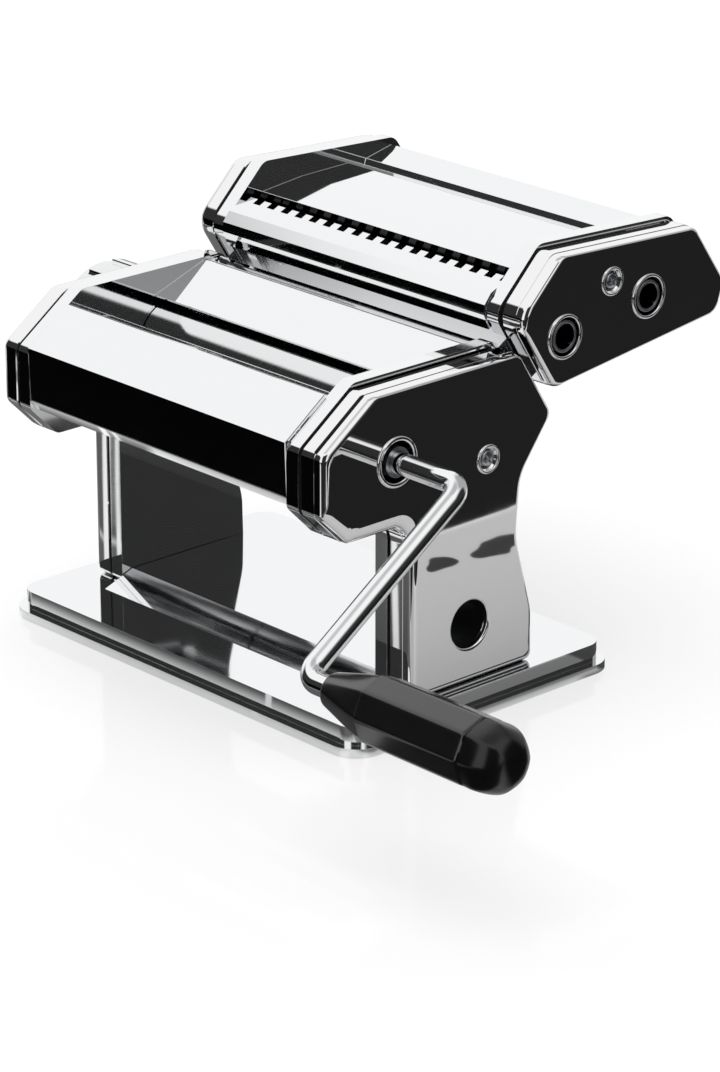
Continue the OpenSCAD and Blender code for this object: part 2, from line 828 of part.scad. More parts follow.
module dial_plate() {
    slot = index_r + 0.4;
    color("white") mirror([1, 0, 0])
        difference() {
            rod_x(left_x, dial_x, knob_axis, dial_r);
            rod_x(left_x - cut, dial_x + cut, knob_axis, journal_r + 0.5);
            translate([left_x - cut, knob_axis[0], knob_axis[1]]) rotate([90, 0, 90]) {
                rotate(-8) rotate_extrude(angle = 196)
                    translate([index_circle_r - slot, 0]) square([2 * slot, dial_t + 2 * cut]);
            }
        }
}

module knob_washer() {
    color("gray") mirror([1, 0, 0]) tube_x(washer_x, washer_x + washer_w, knob_axis, washer_r, screw_r);
}

module knob_screw() {
    color("gainsboro") mirror([1, 0, 0]) screw_x(washer_x + washer_w, knob_axis, 7);
}

// Compression spring as a swept tube of round wire
module knob_spring() {
    sides = 8;
    per_turn = 16;
    x0 = knob_floor_x + spring_wire_r + 0.05;
    x1 = washer_x - spring_wire_r - 0.05;
    count = spring_turns * per_turn;
    points = [for (i = [0:count], j = [0:sides - 1])
        let (a = 360 * i / per_turn, b = 360 * j / sides, r = spring_r + spring_wire_r * cos(b))
        [x0 + (x1 - x0) * i / count + spring_wire_r * sin(b), r * cos(a), r * sin(a)]];
    faces = concat(
        [[for (j = [0:sides - 1]) j]],
        [[for (j = [sides - 1:-1:0]) count * sides + j]],
        [for (i = [0:count - 1], j = [0:sides - 1])
            [i * sides + j, (i + 1) * sides + j, (i + 1) * sides + (j + 1) % sides, i * sides + (j + 1) % sides]]);
    color("gray") mirror([1, 0, 0]) translate([0, knob_axis[0], knob_axis[1]])
        polyhedron(points = points, faces = faces);
}

// Crank -------------------------------------------------------------------
// Quarter of a torus round Z, for the rod's two bends
module elbow() {
    rotate_extrude(angle = 90) translate([bend_r, 0]) circle(r = rod_r);
}

module crank_rod() {
    start = rod_end_x + tip_len;
    color("silver") translate([0, drive[0], drive[1]]) {
        translate([rod_end_x, -tip_w / 2, -tip_w / 2])
            intersection() {
                cube([tip_len, tip_w, tip_w]);
                rod_x(-cut, tip_len + cut, [tip_w / 2, tip_w / 2], rod_r - 0.2);
            }
        // turned so that the arm runs along local +Y
        rotate([180 + arm_angle, 0, 0]) {
            rod_x(start, arm_x - bend_r, [0, 0], rod_r);
            translate([arm_x - bend_r, bend_r, 0]) rotate([0, 0, -90]) elbow();
            translate([arm_x, bend_r, 0]) rotate([-90, 0, 0])
                cylinder(h = arm_len - 2 * bend_r, r = rod_r);
            translate([arm_x + bend_r, arm_len - bend_r, 0]) rotate([0, 0, 90]) elbow();
            rod_x(arm_x + bend_r, pin_end_x, [arm_len, 0], rod_r);
        }
    }
}

module grip_clip() {
    color("gray") tube_x(pin_end_x - clip_w, pin_end_x, grip_axis, clip_r, rod_r);
}

module grip() {
    color("#202020")
        difference() {
            union() {
                translate([grip_x, grip_axis[0], grip_axis[1]]) rotate([0, 90, 0])
                    cylinder(h = grip_cone_len, r1 = grip_neck_r, r2 = grip_cone_r);
                translate([grip_x + grip_cone_len, grip_axis[0], grip_axis[1]]) rotate([0, 90, 0])
                    cylinder(h = cap_x - grip_x - grip_cone_len, r1 = grip_cone_r, r2 = grip_r);
            }
            rod_x(grip_x - cut, cap_x + cut, grip_axis, grip_bore_r);
        }
}

module grip_cap() {
    dome = 4;
    color("#202020")
        difference() {
            union() {
                rod_x(cap_x, grip_end_x - dome, grip_axis, grip_r);
                translate([grip_end_x - dome, grip_axis[0], grip_axis[1]]) rotate([0, 90, 0])
                    cylinder(h = dome, r1 = grip_r, r2 = grip_r - dome);
            }
            rod_x(cap_x - cut, pin_end_x + 1.5, grip_axis, clip_r + 1);
        }
}

// Cutter rails ------------------------------------------------------------
module rail_part(x0, x1, s0, s1, t0, t1) {
    // a block between distances s up the slant and t away from it
    a = slant_low + s0 * slant + t0 * away;
    b = slant_low + s1 * slant + t0 * away;
    c = slant_low + s1 * slant + t1 * away;
    d = slant_low + s0 * slant + t1 * away;
    along_x(x0, x1) polygon([a, b, c, d]);
}

rail_t = cutter_gap + rim_t + rail_play;

module cutter_rails() {
    color("silver") both_sides() {
        rail_part(rail_mid_x - rail_web_w / 2, rail_mid_x + rail_web_w / 2,
            rail_top - rail_len, rail_top, 0, rail_t + rail_head_t / 2);
        rail_part(rail_mid_x - rail_head_w / 2, rail_mid_x + rail_head_w / 2,
            rail_top - rail_len, rail_top, rail_t, rail_t + rail_head_t);
    }
}

// Slots in the cutter flank, open at its lower end
module rail_slots() {
    web = rail_web_w / 2 + rail_play;
    head = rail_head_w / 2 + rail_play;
    rail_part(rail_mid_x - web, rail_mid_x + web, -20, rail_top, cutter_gap - cut, rail_t + cut);
    rail_part(rail_mid_x - head, rail_mid_x + head, -20, cutter_low_s + 5,
        cutter_gap - cut, rail_t + rail_head_t + rail_play);
}

// Cutter head -------------------------------------------------------------
module cutter_flank_body() {
    difference() {
        flank_shell(cutter_outline);
        rod_x(flank_x - cut, plate_x + cut, wide_driver_axis, bush_r - 1);
        rod_x(flank_x - cut, plate_x + cut, fine_driver_axis, bush_r - 1);
        rod_x(flank_x - cut, plate_x + cut, wide_follower_axis, follower_bush_r);
        rod_x(flank_x - cut, plate_x + cut, fine_follower_axis, follower_bush_r);
        stud_holes(cutter_rod_axes);
        rail_slots();
    }
}

module cutter_right_flank() {
    color("silver") cutter_flank_body();
}

module cutter_left_flank() {
    color("silver") mirror([1, 0, 0]) cutter_flank_body();
}

module cutter_right_cover() {
    color("silver")
        difference() {
            union() {
                cover_shell(cutter_outline, right_cover_w);
                screw_boss(cutter_post_axis, right_x);
            }
            for (p = [wide_driver_axis, fine_driver_axis]) rod_x(cover_x, right_x + cut, p, bush_r);
            rod_x(cover_x, right_x + cut, cutter_post_axis, screw_r + hole_play);
        }
}

module cutter_left_cover() {
    color("silver") mirror([1, 0, 0])
        difference() {
            union() {
                cover_shell(cutter_outline, left_cover_w);
                screw_boss(cutter_post_axis, left_x);
            }
            rod_x(cover_x, left_x + cut, cutter_post_axis, screw_r + hole_play);
        }
}

module cutter_posts() {
    color("gray") {
        difference() {
            rod_x(plate_x, right_x - cover_t, cutter_post_axis, post_r - 0.5);
            rod_x(right_x - cover_t - 7, right_x, cutter_post_axis, screw_r);
        }
        mirror([1, 0, 0])
            difference() {
                rod_x(plate_x, left_x - cover_t, cutter_post_axis, post_r - 0.5);
                rod_x(left_x - cover_t - 7, left_x, cutter_post_axis, screw_r);
            }
    }
}

module cutter_screws() {
    color("gainsboro") {
        screw_x(right_x, cutter_post_axis, 8);
        mirror([1, 0, 0]) screw_x(left_x, cutter_post_axis, 8);
    }
}

module cutter_tie_rods() {
    color("silver") tie_rod_set(cutter_rod_axes, cutter_tie_r);
}

module cutter_rod_nuts() {
    color("gray") both_sides() for (p = cutter_rod_axes) nut_x(plate_x, p);
}

module cutter_bushes() {
    color("goldenrod") {
        for (p = [wide_driver_axis, fine_driver_axis]) {
            tube_x(flank_x, plate_x + 3, p, bush_r - 1, drive_shaft_r + run_fit);
            mirror([1, 0, 0]) tube_x(flank_x, plate_x + 0.7, p, bush_r - 1, follower_shaft_r + run_fit);
        }
        for (p = [wide_follower_axis, fine_follower_axis]) {
            tube_x(flank_x, plate_x + 3, p, follower_bush_r, follower_shaft_r + run_fit);
            mirror([1, 0, 0]) tube_x(flank_x, plate_x + 0.7, p, follower_bush_r, follower_shaft_r + run_fit);
        }
    }
}

module socket_rings() {
    color("silver")
        for (p = [wide_driver_axis, fine_driver_axis])
            tube_x(right_x - cover_t - 1, right_x + 0.8, p, bush_r, bush_r - 1.6);
}

module cutter_front_sheet() {
    p = cutter_front;
    edge = [p[0] + 9.2, cutter_top_z - 13.9];
    bend = [p[0] + 2.4, p[1] + 9.5];
    tip = edge + guide_tooth_len * unit(edge - bend);
    pitch = 2 * roller_x / wide_count;
    color("silver") {
        panel([[p[0] + 1.4, p[1] - 4.6], [p[0] - 1, p[1] + 1.5], [p[0] - 0.8, p[1] + 5.5], bend, edge]);
        for (i = [0:wide_count - 1])
            translate([(i + 0.5) * pitch - roller_x, 0, 0])
                along_x(-pitch / 4, pitch / 4) polygon(sheet([edge - 0.1 * unit(edge - bend), tip], panel_t));
    }
}

module cutter_apron() {
    low = slant_low + (cutter_gap + 1.2) * away + (cutter_low_s + 1.5) * slant;
    high = slant_low + (cutter_gap + 1.2) * away + (cutter_high_s - 4) * slant;
    color("silver") panel([low, high]);
}

module cutter_middle_sheet() {
    z = cutter_top_z - 9.5;
    front = wide_driver_axis[0];
    back = fine_driver_axis[0];
    color("silver")
        panel([[front + 0.6, z - 7], [front - 1.9, z - 3], [front + 20.1, z - 0.6], [back - 0.3, z],
            [back + 1.7, z - 4.5]]);
}

module cutter_rear_sheet() {
    front = fine_driver_axis[0] + 8.2;
    low = fine_driver_axis[1] - 13.2;
    color("silver")
        panel([[front, cutter_top_z - 14], [front + 1.5, cutter_top_z - 9.5],
            [cutter_back_y - 20.5, cutter_top_z - 6.2], [cutter_back_y - 3.5, low + 10.5],
            [cutter_back_y - 5.5, low]]);
}

// Comb: a plate from its tie rod towards the rollers, with a finger in each groove
module comb(centre, tip, rod, xs, w) {
    d = unit(rod - tip);
    length = norm(rod - tip) - cutter_tie_r;
    rel = centre - tip;
    foot = rel * d;
    near = disc_r + 0.7;
    gap = norm(rel - foot * d);
    start = foot + sqrt(near * near - gap * gap);
    side = gap > 0 && d[0] * rel[1] - d[1] * rel[0] > 0 ? -1 : 0;
    along_x(-flank_x, flank_x)
        translate(tip) rotate(atan2(d[1], d[0])) translate([start, side * comb_t])
            square([length - start, comb_t]);
    for (x = xs)
        along_x(x - w / 2, x + w / 2)
            translate(tip) rotate(atan2(d[1], d[0])) translate([0, side * comb_t])
                square([start + 0.5, comb_t]);
}

module comb_pair(a, b, tilt, rod_a, rod_b, count) {
    pitch = 2 * roller_x / count;
    groove = pitch / 2 + disc_play;
    w = groove - 2 * comb_play * (count > 25 ? 0.5 : 1);
    reach = disc_root_r + comb_gap;
    u = [cos(tilt), sin(tilt)];
    d = [sin(tilt), -cos(tilt)];
    grooves_a = [for (i = [0:count - 1]) -roller_x + (i + 0.75) * pitch];
    grooves_b = [for (i = [0:count - 1]) -roller_x + (i + 0.25) * pitch];
    comb(a, a + reach * d, rod_a, grooves_a, w);
    comb(b, b + reach * d, rod_b, grooves_b, w);
}

module cutter_combs() {
    color("gray") {
        comb_pair(wide_driver_axis, wide_follower_axis, wide_tilt, cutter_rod_axes[0], cutter_rod_axes[1],
            wide_count);
        comb_pair(fine_driver_axis, fine_follower_axis, fine_tilt, cutter_rod_axes[1], cutter_rod_axes[2],
            fine_count);
    }
}

// Cutting roller: one disc per pitch, shifted by half a pitch on the follower
module disc_roller(axis, count, shift) {
    pitch = 2 * roller_x / count;
    w = pitch / 2 - disc_play;
    step = [for (i = [0:count - 1])
        let (x = (i + 0.25 + shift) * pitch)
        each [[disc_root_r, x - w / 2], [disc_r, x - w / 2], [disc_r, x + w / 2], [disc_root_r, x + w / 2]]];
    translate([-roller_x, axis[0], axis[1]]) rotate([0, 90, 0])
        rotate_extrude() polygon(concat([[0, 0], [disc_root_r, 0]], step,
            [[disc_root_r, 2 * roller_x], [0, 2 * roller_x]]));
}

module driver_part(axis, count) {
    sunk = 2;
    disc_roller(axis, count, 0);
    rod_x(-shaft_end + 2, sunk - roller_x, axis, follower_shaft_r);
    difference() {
        rod_x(roller_x - sunk, socket_end - 0.5, axis, drive_shaft_r);
        translate([-0.5, 0, 0]) crank_socket(axis);
        for (a = [45, 135])
            translate([socket_end - 3.5, axis[0], axis[1]]) rotate([a, 0, 0])
                translate([0, -drive_shaft_r - cut, -notch_w / 2])
                    cube([4, 2 * drive_shaft_r + 2 * cut, notch_w]);
    }
}

module follower_part(axis, count) {
    sunk = 2;
    disc_roller(axis, count, 0.5);
    rod_x(-shaft_end + 2, sunk - roller_x, axis, follower_shaft_r);
    rod_x(roller_x - sunk, plate_x + 5, axis, follower_shaft_r);
}

module cutter_gear(axis, bore, phase) {
    gear_at(-gear_x - cutter_gear_w, cutter_gear_w, axis, bore, cutter_teeth,
        cutter_gear_tip_r, cutter_gear_root_r, cutter_gear_tip_w, cutter_gear_root_w, phase);
}

half_tooth = 180 / cutter_teeth;

module wide_driver() { color("lightgray") driver_part(wide_driver_axis, wide_count); }
module wide_follower() { color("lightgray") follower_part(wide_follower_axis, wide_count); }
module fine_driver() { color("lightgray") driver_part(fine_driver_axis, fine_count); }
module fine_follower() { color("lightgray") follower_part(fine_follower_axis, fine_count); }
module wide_driver_gear() { color("gray") cutter_gear(wide_driver_axis, follower_shaft_r, wide_tilt); }
module wide_follower_gear() {
    color("gray") cutter_gear(wide_follower_axis, follower_shaft_r, wide_tilt + 180 + half_tooth);
}
module fine_driver_gear() { color("gray") cutter_gear(fine_driver_axis, follower_shaft_r, fine_tilt); }
module fine_follower_gear() {
    color("gray") cutter_gear(fine_follower_axis, follower_shaft_r, fine_tilt + 180 + half_tooth);
}

base_plate();
rubber_feet();
base_screws();
right_flank();
left_flank();
right_cover();
left_cover();
cover_posts();
cover_screws();
front_panel();
hopper_chute();
rear_panel();
front_scraper();
rear_scraper();
tie_rods();
tie_rod_nuts();
drive_bushes();
hub_ring();
dial_plate();
cutter_rails();
drive_roller();
drive_shaft();
drive_gear();
movable_roller();
movable_gear();
roller_bushes();
thickness_shaft();
knob();
index_pin();
knob_washer();
knob_screw();
knob_spring();
crank_rod();
grip_clip();
grip();
grip_cap();
cutter_right_flank();
cutter_left_flank();
cutter_right_cover();
cutter_left_cover();
cutter_posts();
cutter_screws();
cutter_tie_rods();
cutter_rod_nuts();
cutter_bushes();
socket_rings();
cutter_front_sheet();
cutter_apron();
cutter_middle_sheet();
cutter_rear_sheet();
cutter_combs();
wide_driver();
wide_driver_gear();
wide_follower();
wide_follower_gear();
fine_driver();
fine_driver_gear();
fine_follower();
fine_follower_gear();
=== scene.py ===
"""Pasta roller machine: looks of every piece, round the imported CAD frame. Metres."""
import json
import math

import bmesh
import bpy
from mathutils import Matrix, Vector

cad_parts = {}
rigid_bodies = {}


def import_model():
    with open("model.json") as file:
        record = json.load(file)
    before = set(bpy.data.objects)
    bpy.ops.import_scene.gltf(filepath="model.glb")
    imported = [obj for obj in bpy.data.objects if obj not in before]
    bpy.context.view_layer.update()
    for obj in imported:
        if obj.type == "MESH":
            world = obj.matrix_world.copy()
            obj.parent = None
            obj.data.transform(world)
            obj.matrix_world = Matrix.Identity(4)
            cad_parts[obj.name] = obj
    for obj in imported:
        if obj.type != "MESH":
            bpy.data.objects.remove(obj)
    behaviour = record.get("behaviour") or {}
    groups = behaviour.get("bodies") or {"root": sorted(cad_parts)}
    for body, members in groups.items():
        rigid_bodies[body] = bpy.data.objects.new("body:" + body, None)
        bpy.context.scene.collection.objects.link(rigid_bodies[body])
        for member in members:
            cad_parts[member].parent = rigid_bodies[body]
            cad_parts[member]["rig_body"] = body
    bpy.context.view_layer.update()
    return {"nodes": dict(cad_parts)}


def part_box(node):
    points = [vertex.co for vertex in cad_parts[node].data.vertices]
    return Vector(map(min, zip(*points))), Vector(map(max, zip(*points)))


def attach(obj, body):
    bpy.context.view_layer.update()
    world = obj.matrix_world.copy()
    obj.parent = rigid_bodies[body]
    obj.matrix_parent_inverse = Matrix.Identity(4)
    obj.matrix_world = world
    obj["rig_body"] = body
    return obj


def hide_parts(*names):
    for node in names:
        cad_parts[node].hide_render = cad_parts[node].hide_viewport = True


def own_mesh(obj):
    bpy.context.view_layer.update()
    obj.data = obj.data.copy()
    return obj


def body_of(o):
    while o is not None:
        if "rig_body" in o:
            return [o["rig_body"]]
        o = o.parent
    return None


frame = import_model()

MM = 0.001
NODES = frame["nodes"]

# Sizes, in millimetres --------------------------------------------------------
FLANK_X = 75.0          # inner face of a flank
RIM_X = 81.5            # outer edge of a flank's rim
COVER_X = 83.0          # inner edge of a cover
RIGHT_X = 95.0          # outer face of the right covers
LEFT_X = 92.0           # outer face of the left covers
COVER_T = 2.2           # thickness of a cover's face
COVER_WALL = 5.0        # how far a cover's hollow lies inside its outline
COVER_EASE = 0.35       # how far a cover's inner edge is eased
LEDGE_X = 5.0           # how far the small step round a cover lies from its face
LEDGE_D = 0.2           # depth of that step
LEDGE_RISE = 0.12       # its length along X
EDGE_D = 2.9            # how far a cover's edge rounding reaches along X
MIN_CORNER_R = 0.6      # smallest corner that an inset outline keeps
MERGE = 0.002           # points of a piece closer than this become one
NODE_MERGE = 0.001      # the same for a copy of a CAD node
NODE_FLAT = 0.5         # and faces of a copy within this angle become one, in degrees
CORNER_STEPS = 10       # steps round an outline's corner
EDGE_STEPS = 8          # steps over a cover's rounded edge
CIRCLE_STEPS = 96       # steps round a hole or a turned piece
SCREW_HOLE_R = 4.6      # hole in a cover for its screw's seat
HUB_HOLE_R = 10.0       # hole in the right cover for the crank's socket
SOCKET_HOLE_R = 9.0     # hole in the cutter's cover for each of its sockets
CLAMP_R = 9.5           # bore for the table clamp
LIP_T = 1.2             # thickness of the collar round that bore
BORE_X = FLANK_X + 1.6  # inner end of the sleeve in that bore
STRIP_D = 1.2           # how deep the black strip of painted shade lies in the groove beside a cover
STRIP_T = 2.5           # its own thickness
STRIP_X = (RIM_X - 0.6, COVER_X + 0.4)      # its sides, under the flank's rim and the cover
REFLECTION_LINE_X = (88.9, 90.3)   # sides of the black line in the right cover's front slope, a painted dark reflection
REFLECTION_LINE_SINK = 0.3         # how deep that line is let in
REFLECTION_LINE_RISE = 0.05        # how far it stands proud
ROLLER_R = 16.0         # radius of the smooth rollers
ROLLER_X = 74.5         # half their length

# Where axes along X stand: (y, z)
DRIVE = (-40.8, 109.6)
MOVABLE = (-5.8, 109.6)
KNOB = (-7.05, 109.6)
MAIN_SCREW = (6.1, 99.4)
LEFT_SCREW = (25.0, 106.0)
CLAMP = (-2.4, 34.8)

# Outline of the main covers and of their flat outer face: (y, z, corner radius)
MAIN = [
    (-77.5, 95.5, 4), (-77.5, 119.5, 5), (-52.8, 137.2, 6), (23.6, 137.2, 5), (41, 109.5, 4),
    (25, 88, 18), (23, 64, 30), (31.5, 32, 25), (32, 11, 3), (-33, 11, 3), (-33, 82.5, 9),
    (-64.5, 82.5, 4),
]
MAIN_FACE = [
    (-74.2, 98.6, 7), (-74.2, 118.2, 6), (-49.2, 136.1, 5), (21, 136.1, 5), (37.8, 109.4, 4),
    (22.2, 88.6, 20), (20, 64, 30), (28.4, 32, 25), (28.8, 14.2, 2.5), (-29.6, 14.2, 2.5),
    (-29.6, 88.6, 10), (-63, 88.6, 9),
]
CUTTER = [
    (41, 118.5, 5), (21.8, 149.3, 10), (43.3, 170.8, 6), (118.3, 167.4, 6),
    (136, 142, 7), (131.5, 129.5, 7),
]
CUTTER_FACE = [
    (43.2, 120.5, 4), (24.9, 148.9, 9), (46, 169.8, 5), (115.4, 166.6, 5), (132.8, 141.8, 6),
    (129.6, 131.2, 6),
]


def axis_of(node):
    """Where a node's axis along X stands: (y, z) in millimetres."""
    low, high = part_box(node)
    return ((low.y + high.y) / 2 / MM, (low.z + high.z) / 2 / MM)


WIDE = axis_of("wide_driver")
FINE = axis_of("fine_driver")
CUTTER_SCREW = axis_of("cutter_screws")


# Small vector helpers for outlines --------------------------------------------
def unit(v):
    n = math.hypot(*v)
    return (v[0] / n, v[1] / n)


def corner(a, p, b, r, steps=CORNER_STEPS):
    """Points of the arc that rounds corner p between a and b."""
    u = unit((a[0] - p[0], a[1] - p[1]))
    v = unit((b[0] - p[0], b[1] - p[1]))
    half = math.acos(max(-1.0, min(1.0, u[0] * v[0] + u[1] * v[1]))) / 2
    m = unit((u[0] + v[0], u[1] + v[1]))
    c = (p[0] + m[0] * r / math.sin(half), p[1] + m[1] * r / math.sin(half))
    t = r / math.tan(half)
    s = math.atan2(p[1] + u[1] * t - c[1], p[0] + u[0] * t - c[0])
    e = math.atan2(p[1] + v[1] * t - c[1], p[0] + v[0] * t - c[0])
    sweep = (e - s + math.pi) % (2 * math.pi) - math.pi
    return [(c[0] + r * math.cos(s + sweep * i / steps), c[1] + r * math.sin(s + sweep * i / steps))
            for i in range(steps + 1)]


def rounded(outline, steps=CORNER_STEPS):
    n = len(outline)
    points = []
    for i in range(n):
        points += corner(outline[i - 1], outline[i], outline[(i + 1) % n], outline[i][2], steps)
    return points


def inset(outline, d):
    """The same clockwise outline moved inwards by d."""
    n = len(outline)
    result = []
    for i in range(n):
        a, p, b = outline[i - 1], outline[i], outline[(i + 1) % n]
        u = unit((p[0] - a[0], p[1] - a[1]))
        v = unit((b[0] - p[0], b[1] - p[1]))
        nu, nv = (u[1], -u[0]), (v[1], -v[0])
        k = d / (1 + nu[0] * nv[0] + nu[1] * nv[1])
        outer = u[0] * v[1] - u[1] * v[0] < 0
        r = max(MIN_CORNER_R, p[2] - d) if outer else p[2] + d
        result.append((p[0] + k * (nu[0] + nv[0]), p[1] + k * (nu[1] + nv[1]), r))
    return result


def circle(axis, r, steps=CIRCLE_STEPS):
    """Points (y, z) of a circle about an axis along X."""
    return [(axis[0] + r * math.cos(a), axis[1] + r * math.sin(a))
            for a in (2 * math.pi * i / steps for i in range(steps))]


def ring(points, x, side=1):
    """An outline's points at x, on one side of the machine's middle."""
    return [(side * x, y, z) for y, z in points]


def outward(points, i):
    """The way a clockwise outline faces at its point i."""
    a, b = points[i - 1], points[(i + 1) % len(points)]
    t = unit((b[0] - a[0], b[1] - a[1]))
    return (-t[1], t[0])


# Materials --------------------------------------------------------------------
SMEAR_MM = 25.0         # width of the wiping marks on chrome
MOTTLE_MM = 3.0         # width of the mottling on plated parts
CLOUD_MM = 12.0         # width of the changes of tone in plastic and rubber
WAVE_DEPTH = 1.0        # height of the waves in chrome at a strength of 1, in mm
GRAIN_DEPTH = 0.1       # height of lines and grain at a strength of 1, in mm


def linear(code):
    """sRGB hex to a linear colour with alpha."""
    values = [int(code[i:i + 2], 16) / 255 for i in (1, 3, 5)]
    return [v / 12.92 if v <= 0.04045 else ((v + 0.055) / 1.055) ** 2.4 for v in values] + [1.0]


def scaled(code, k):
    """An sRGB hex colour as a linear one, k times as bright."""
    return [min(1.0, c * k) for c in linear(code)[:3]] + [1.0]


def add(tree, kind, inputs=None, **settings):
    """Adds a node with its settings; inputs are values or the sockets that feed them."""
    node = tree.nodes.new(kind)
    for key, value in settings.items():
        setattr(node, key, value)
    for key, value in (inputs or {}).items():
        if isinstance(value, bpy.types.NodeSocket):
            tree.links.new(value, node.inputs[key])
        else:
            node.inputs[key].default_value = value
    return node


def new_material(name):
    """A material with its tree, its shader and its object coordinates."""
    material = bpy.data.materials.new(name)
    material.use_nodes = True
    tree = material.node_tree
    place = add(tree, "ShaderNodeTexCoord").outputs["Object"]
    return material, tree, tree.nodes["Principled BSDF"], place


def noise(tree, place, size_mm, detail):
    """Noise with features about size_mm wide."""
    return add(tree, "ShaderNodeTexNoise",
               {"Vector": place, "Scale": 1 / (size_mm * MM), "Detail": detail}).outputs["Fac"]


def mixed_colour(tree, factor, a, b):
    """A colour between a and b."""
    return add(tree, "ShaderNodeMix", {"Factor": factor, "A": a, "B": b},
               data_type="RGBA").outputs["Result"]


def vary_roughness(tree, shader, value, low, high, start=0.0, end=1.0):
    """Lets the roughness go from low to high while value goes from start to end."""
    gloss = add(tree, "ShaderNodeMapRange",
                {"Value": value, "From Min": start, "From Max": end, "To Min": low, "To Max": high})
    tree.links.new(gloss.outputs["Result"], shader.inputs["Roughness"])


def raise_bumps(tree, shader, height, strength, depth_mm):
    """Bends the shading as if the surface rose with height."""
    bump = add(tree, "ShaderNodeBump",
               {"Height": height, "Strength": strength, "Distance": depth_mm * MM})
    tree.links.new(bump.outputs["Normal"], shader.inputs["Normal"])


def chrome(name, colour, rough, wobble, wobble_mm):
    """Polished chrome plate: a mirror with a faint waviness and wiping marks in its gloss."""
    material, tree, shader, place = new_material(name)
    shader.inputs["Base Color"].default_value = linear(colour)
    shader.inputs["Metallic"].default_value = 1.0
    vary_roughness(tree, shader, noise(tree, place, SMEAR_MM, 3.0), rough, rough * 1.8, 0.35, 0.7)
    raise_bumps(tree, shader, noise(tree, place, wobble_mm, 1.0), wobble, WAVE_DEPTH)
    return material


def turned(name, colour, rough, line_mm):
    """Ground steel: fine lines round the axis, which stretch its reflections."""
    material, tree, shader, place = new_material(name)
    shader.inputs["Base Color"].default_value = linear(colour)
    shader.inputs["Metallic"].default_value = 1.0
    stretch = add(tree, "ShaderNodeMapping",
                  {"Vector": place, "Scale": (1 / (line_mm * MM), 4.0, 4.0)})
    lines = add(tree, "ShaderNodeTexNoise",
                {"Vector": stretch.outputs["Vector"], "Scale": 1.0, "Detail": 2.0}).outputs["Fac"]
    vary_roughness(tree, shader, lines, rough * 0.6, rough * 1.5)
    raise_bumps(tree, shader, lines, 0.06, GRAIN_DEPTH)
    return material


def plated(name, colour, rough):
    """Zinc-plated or machined small parts: satin metal with a mottled gloss."""
    material, tree, shader, place = new_material(name)
    shader.inputs["Metallic"].default_value = 1.0
    mottle = noise(tree, place, MOTTLE_MM, 4.0)
    tone = mixed_colour(tree, mottle, linear(colour), scaled(colour, 1.25))
    tree.links.new(tone, shader.inputs["Base Color"])
    vary_roughness(tree, shader, mottle, rough * 0.8, rough * 1.3)
    return material


def moulded(name, colour, rough, grain_mm, depth, coat=0.0, coat_rough=0.0):
    """Moulded plastic or rubber: an even colour under a fine grain; coat is how rubbed it is."""
    material, tree, shader, place = new_material(name)
    cloud = noise(tree, place, CLOUD_MM, 3.0)
    tone = mixed_colour(tree, cloud, scaled(colour, 0.8), scaled(colour, 1.2))
    tree.links.new(tone, shader.inputs["Base Color"])
    vary_roughness(tree, shader, cloud, rough * 0.85, rough * 1.15)
    raise_bumps(tree, shader, noise(tree, place, grain_mm, 2.0), depth, GRAIN_DEPTH)
    if coat:
        shader.inputs["Coat Weight"].default_value = coat
        shader.inputs["Coat Roughness"].default_value = coat_rough
    return material


# Chromed pressed sheet: long soft reflections that wander a little
CHROME_SHEET = chrome("chromed_pressed_steel", "#f2f3f4", 0.035, 0.05, 60)
# Chromed covers: the flattest and clearest mirror on the machine
CHROME_COVER = chrome("chromed_moulded_cover", "#f2f2f3", 0.02, 0.03, 70)
# Chromed round bar of the crank, polished along its length
CHROME_ROD = chrome("chromed_round_bar", "#f2f3f4", 0.04, 0.02, 20)
# Chromed knob: bright plating over moulded plastic
CHROME_KNOB = chrome("chromed_plastic_knob", "#eceded", 0.06, 0.03, 15)
# Ground and chromed steel of the smooth rollers
ROLLER_STEEL = turned("ground_chromed_roller_steel", "#e6e7e8", 0.09, 0.5)
# Cutting rollers, painted near black for the shade inside the cutter head: painted shade; oiled, so
# only their edges catch the light
CUTTING_STEEL = turned("cutting_roller_steel_painted_shade", "#303032", 0.22, 0.4)
# Zinc-plated screws, rods and nuts
ZINC_STEEL = plated("zinc_plated_steel", "#b4b6ba", 0.28)
# Machined gears
GEAR_STEEL = plated("machined_gear_steel", "#8b8d92", 0.38)
# Unpolished steel inside the drawn clamp hole, its colour painted near black for the shade in the
# bore: painted shade
DULL_STEEL_PAINTED_SHADE = plated("unpolished_steel_painted_shade", "#2c2d2e", 0.55)
# Sintered bronze of the bushes
BRONZE = plated("sintered_bronze", "#a9834a", 0.45)
# Black ABS of the crank's grip: a fine spark-eroded grain that hands have rubbed glossy
BLACK_ABS = moulded("black_abs_satin", "#0b0b0c", 0.24, 0.5, 0.2, coat=0.8, coat_rough=0.12)
# Smoother, glossier black of the grip's end cap
BLACK_CAP = moulded("black_abs_cap", "#09090a", 0.22, 0.6, 0.1)
# Dark food-grade plastic of the scrapers
GREY_PLASTIC = moulded("grey_acetal", "#3a3c40", 0.4, 0.4, 0.1)
# White plastic of the dial
WHITE_PLASTIC = moulded("white_abs_dial", "#e8e8e4", 0.35, 0.5, 0.1)
# Soft rubber of the feet
RUBBER = moulded("black_rubber", "#1b1b1b", 0.75, 0.6, 0.4)
# Matt black, painted shade in the grooves beside the covers and a painted dark reflection line on
# the right cover's slope
BLACK_PAINTED_SHADE = moulded("black_painted_shade", "#060606", 0.9, 0.5, 0.3)
# Black paint in the marks round the knob
MARK_PAINT = moulded("black_mark_paint", "#202022", 0.5, 0.5, 0.05)


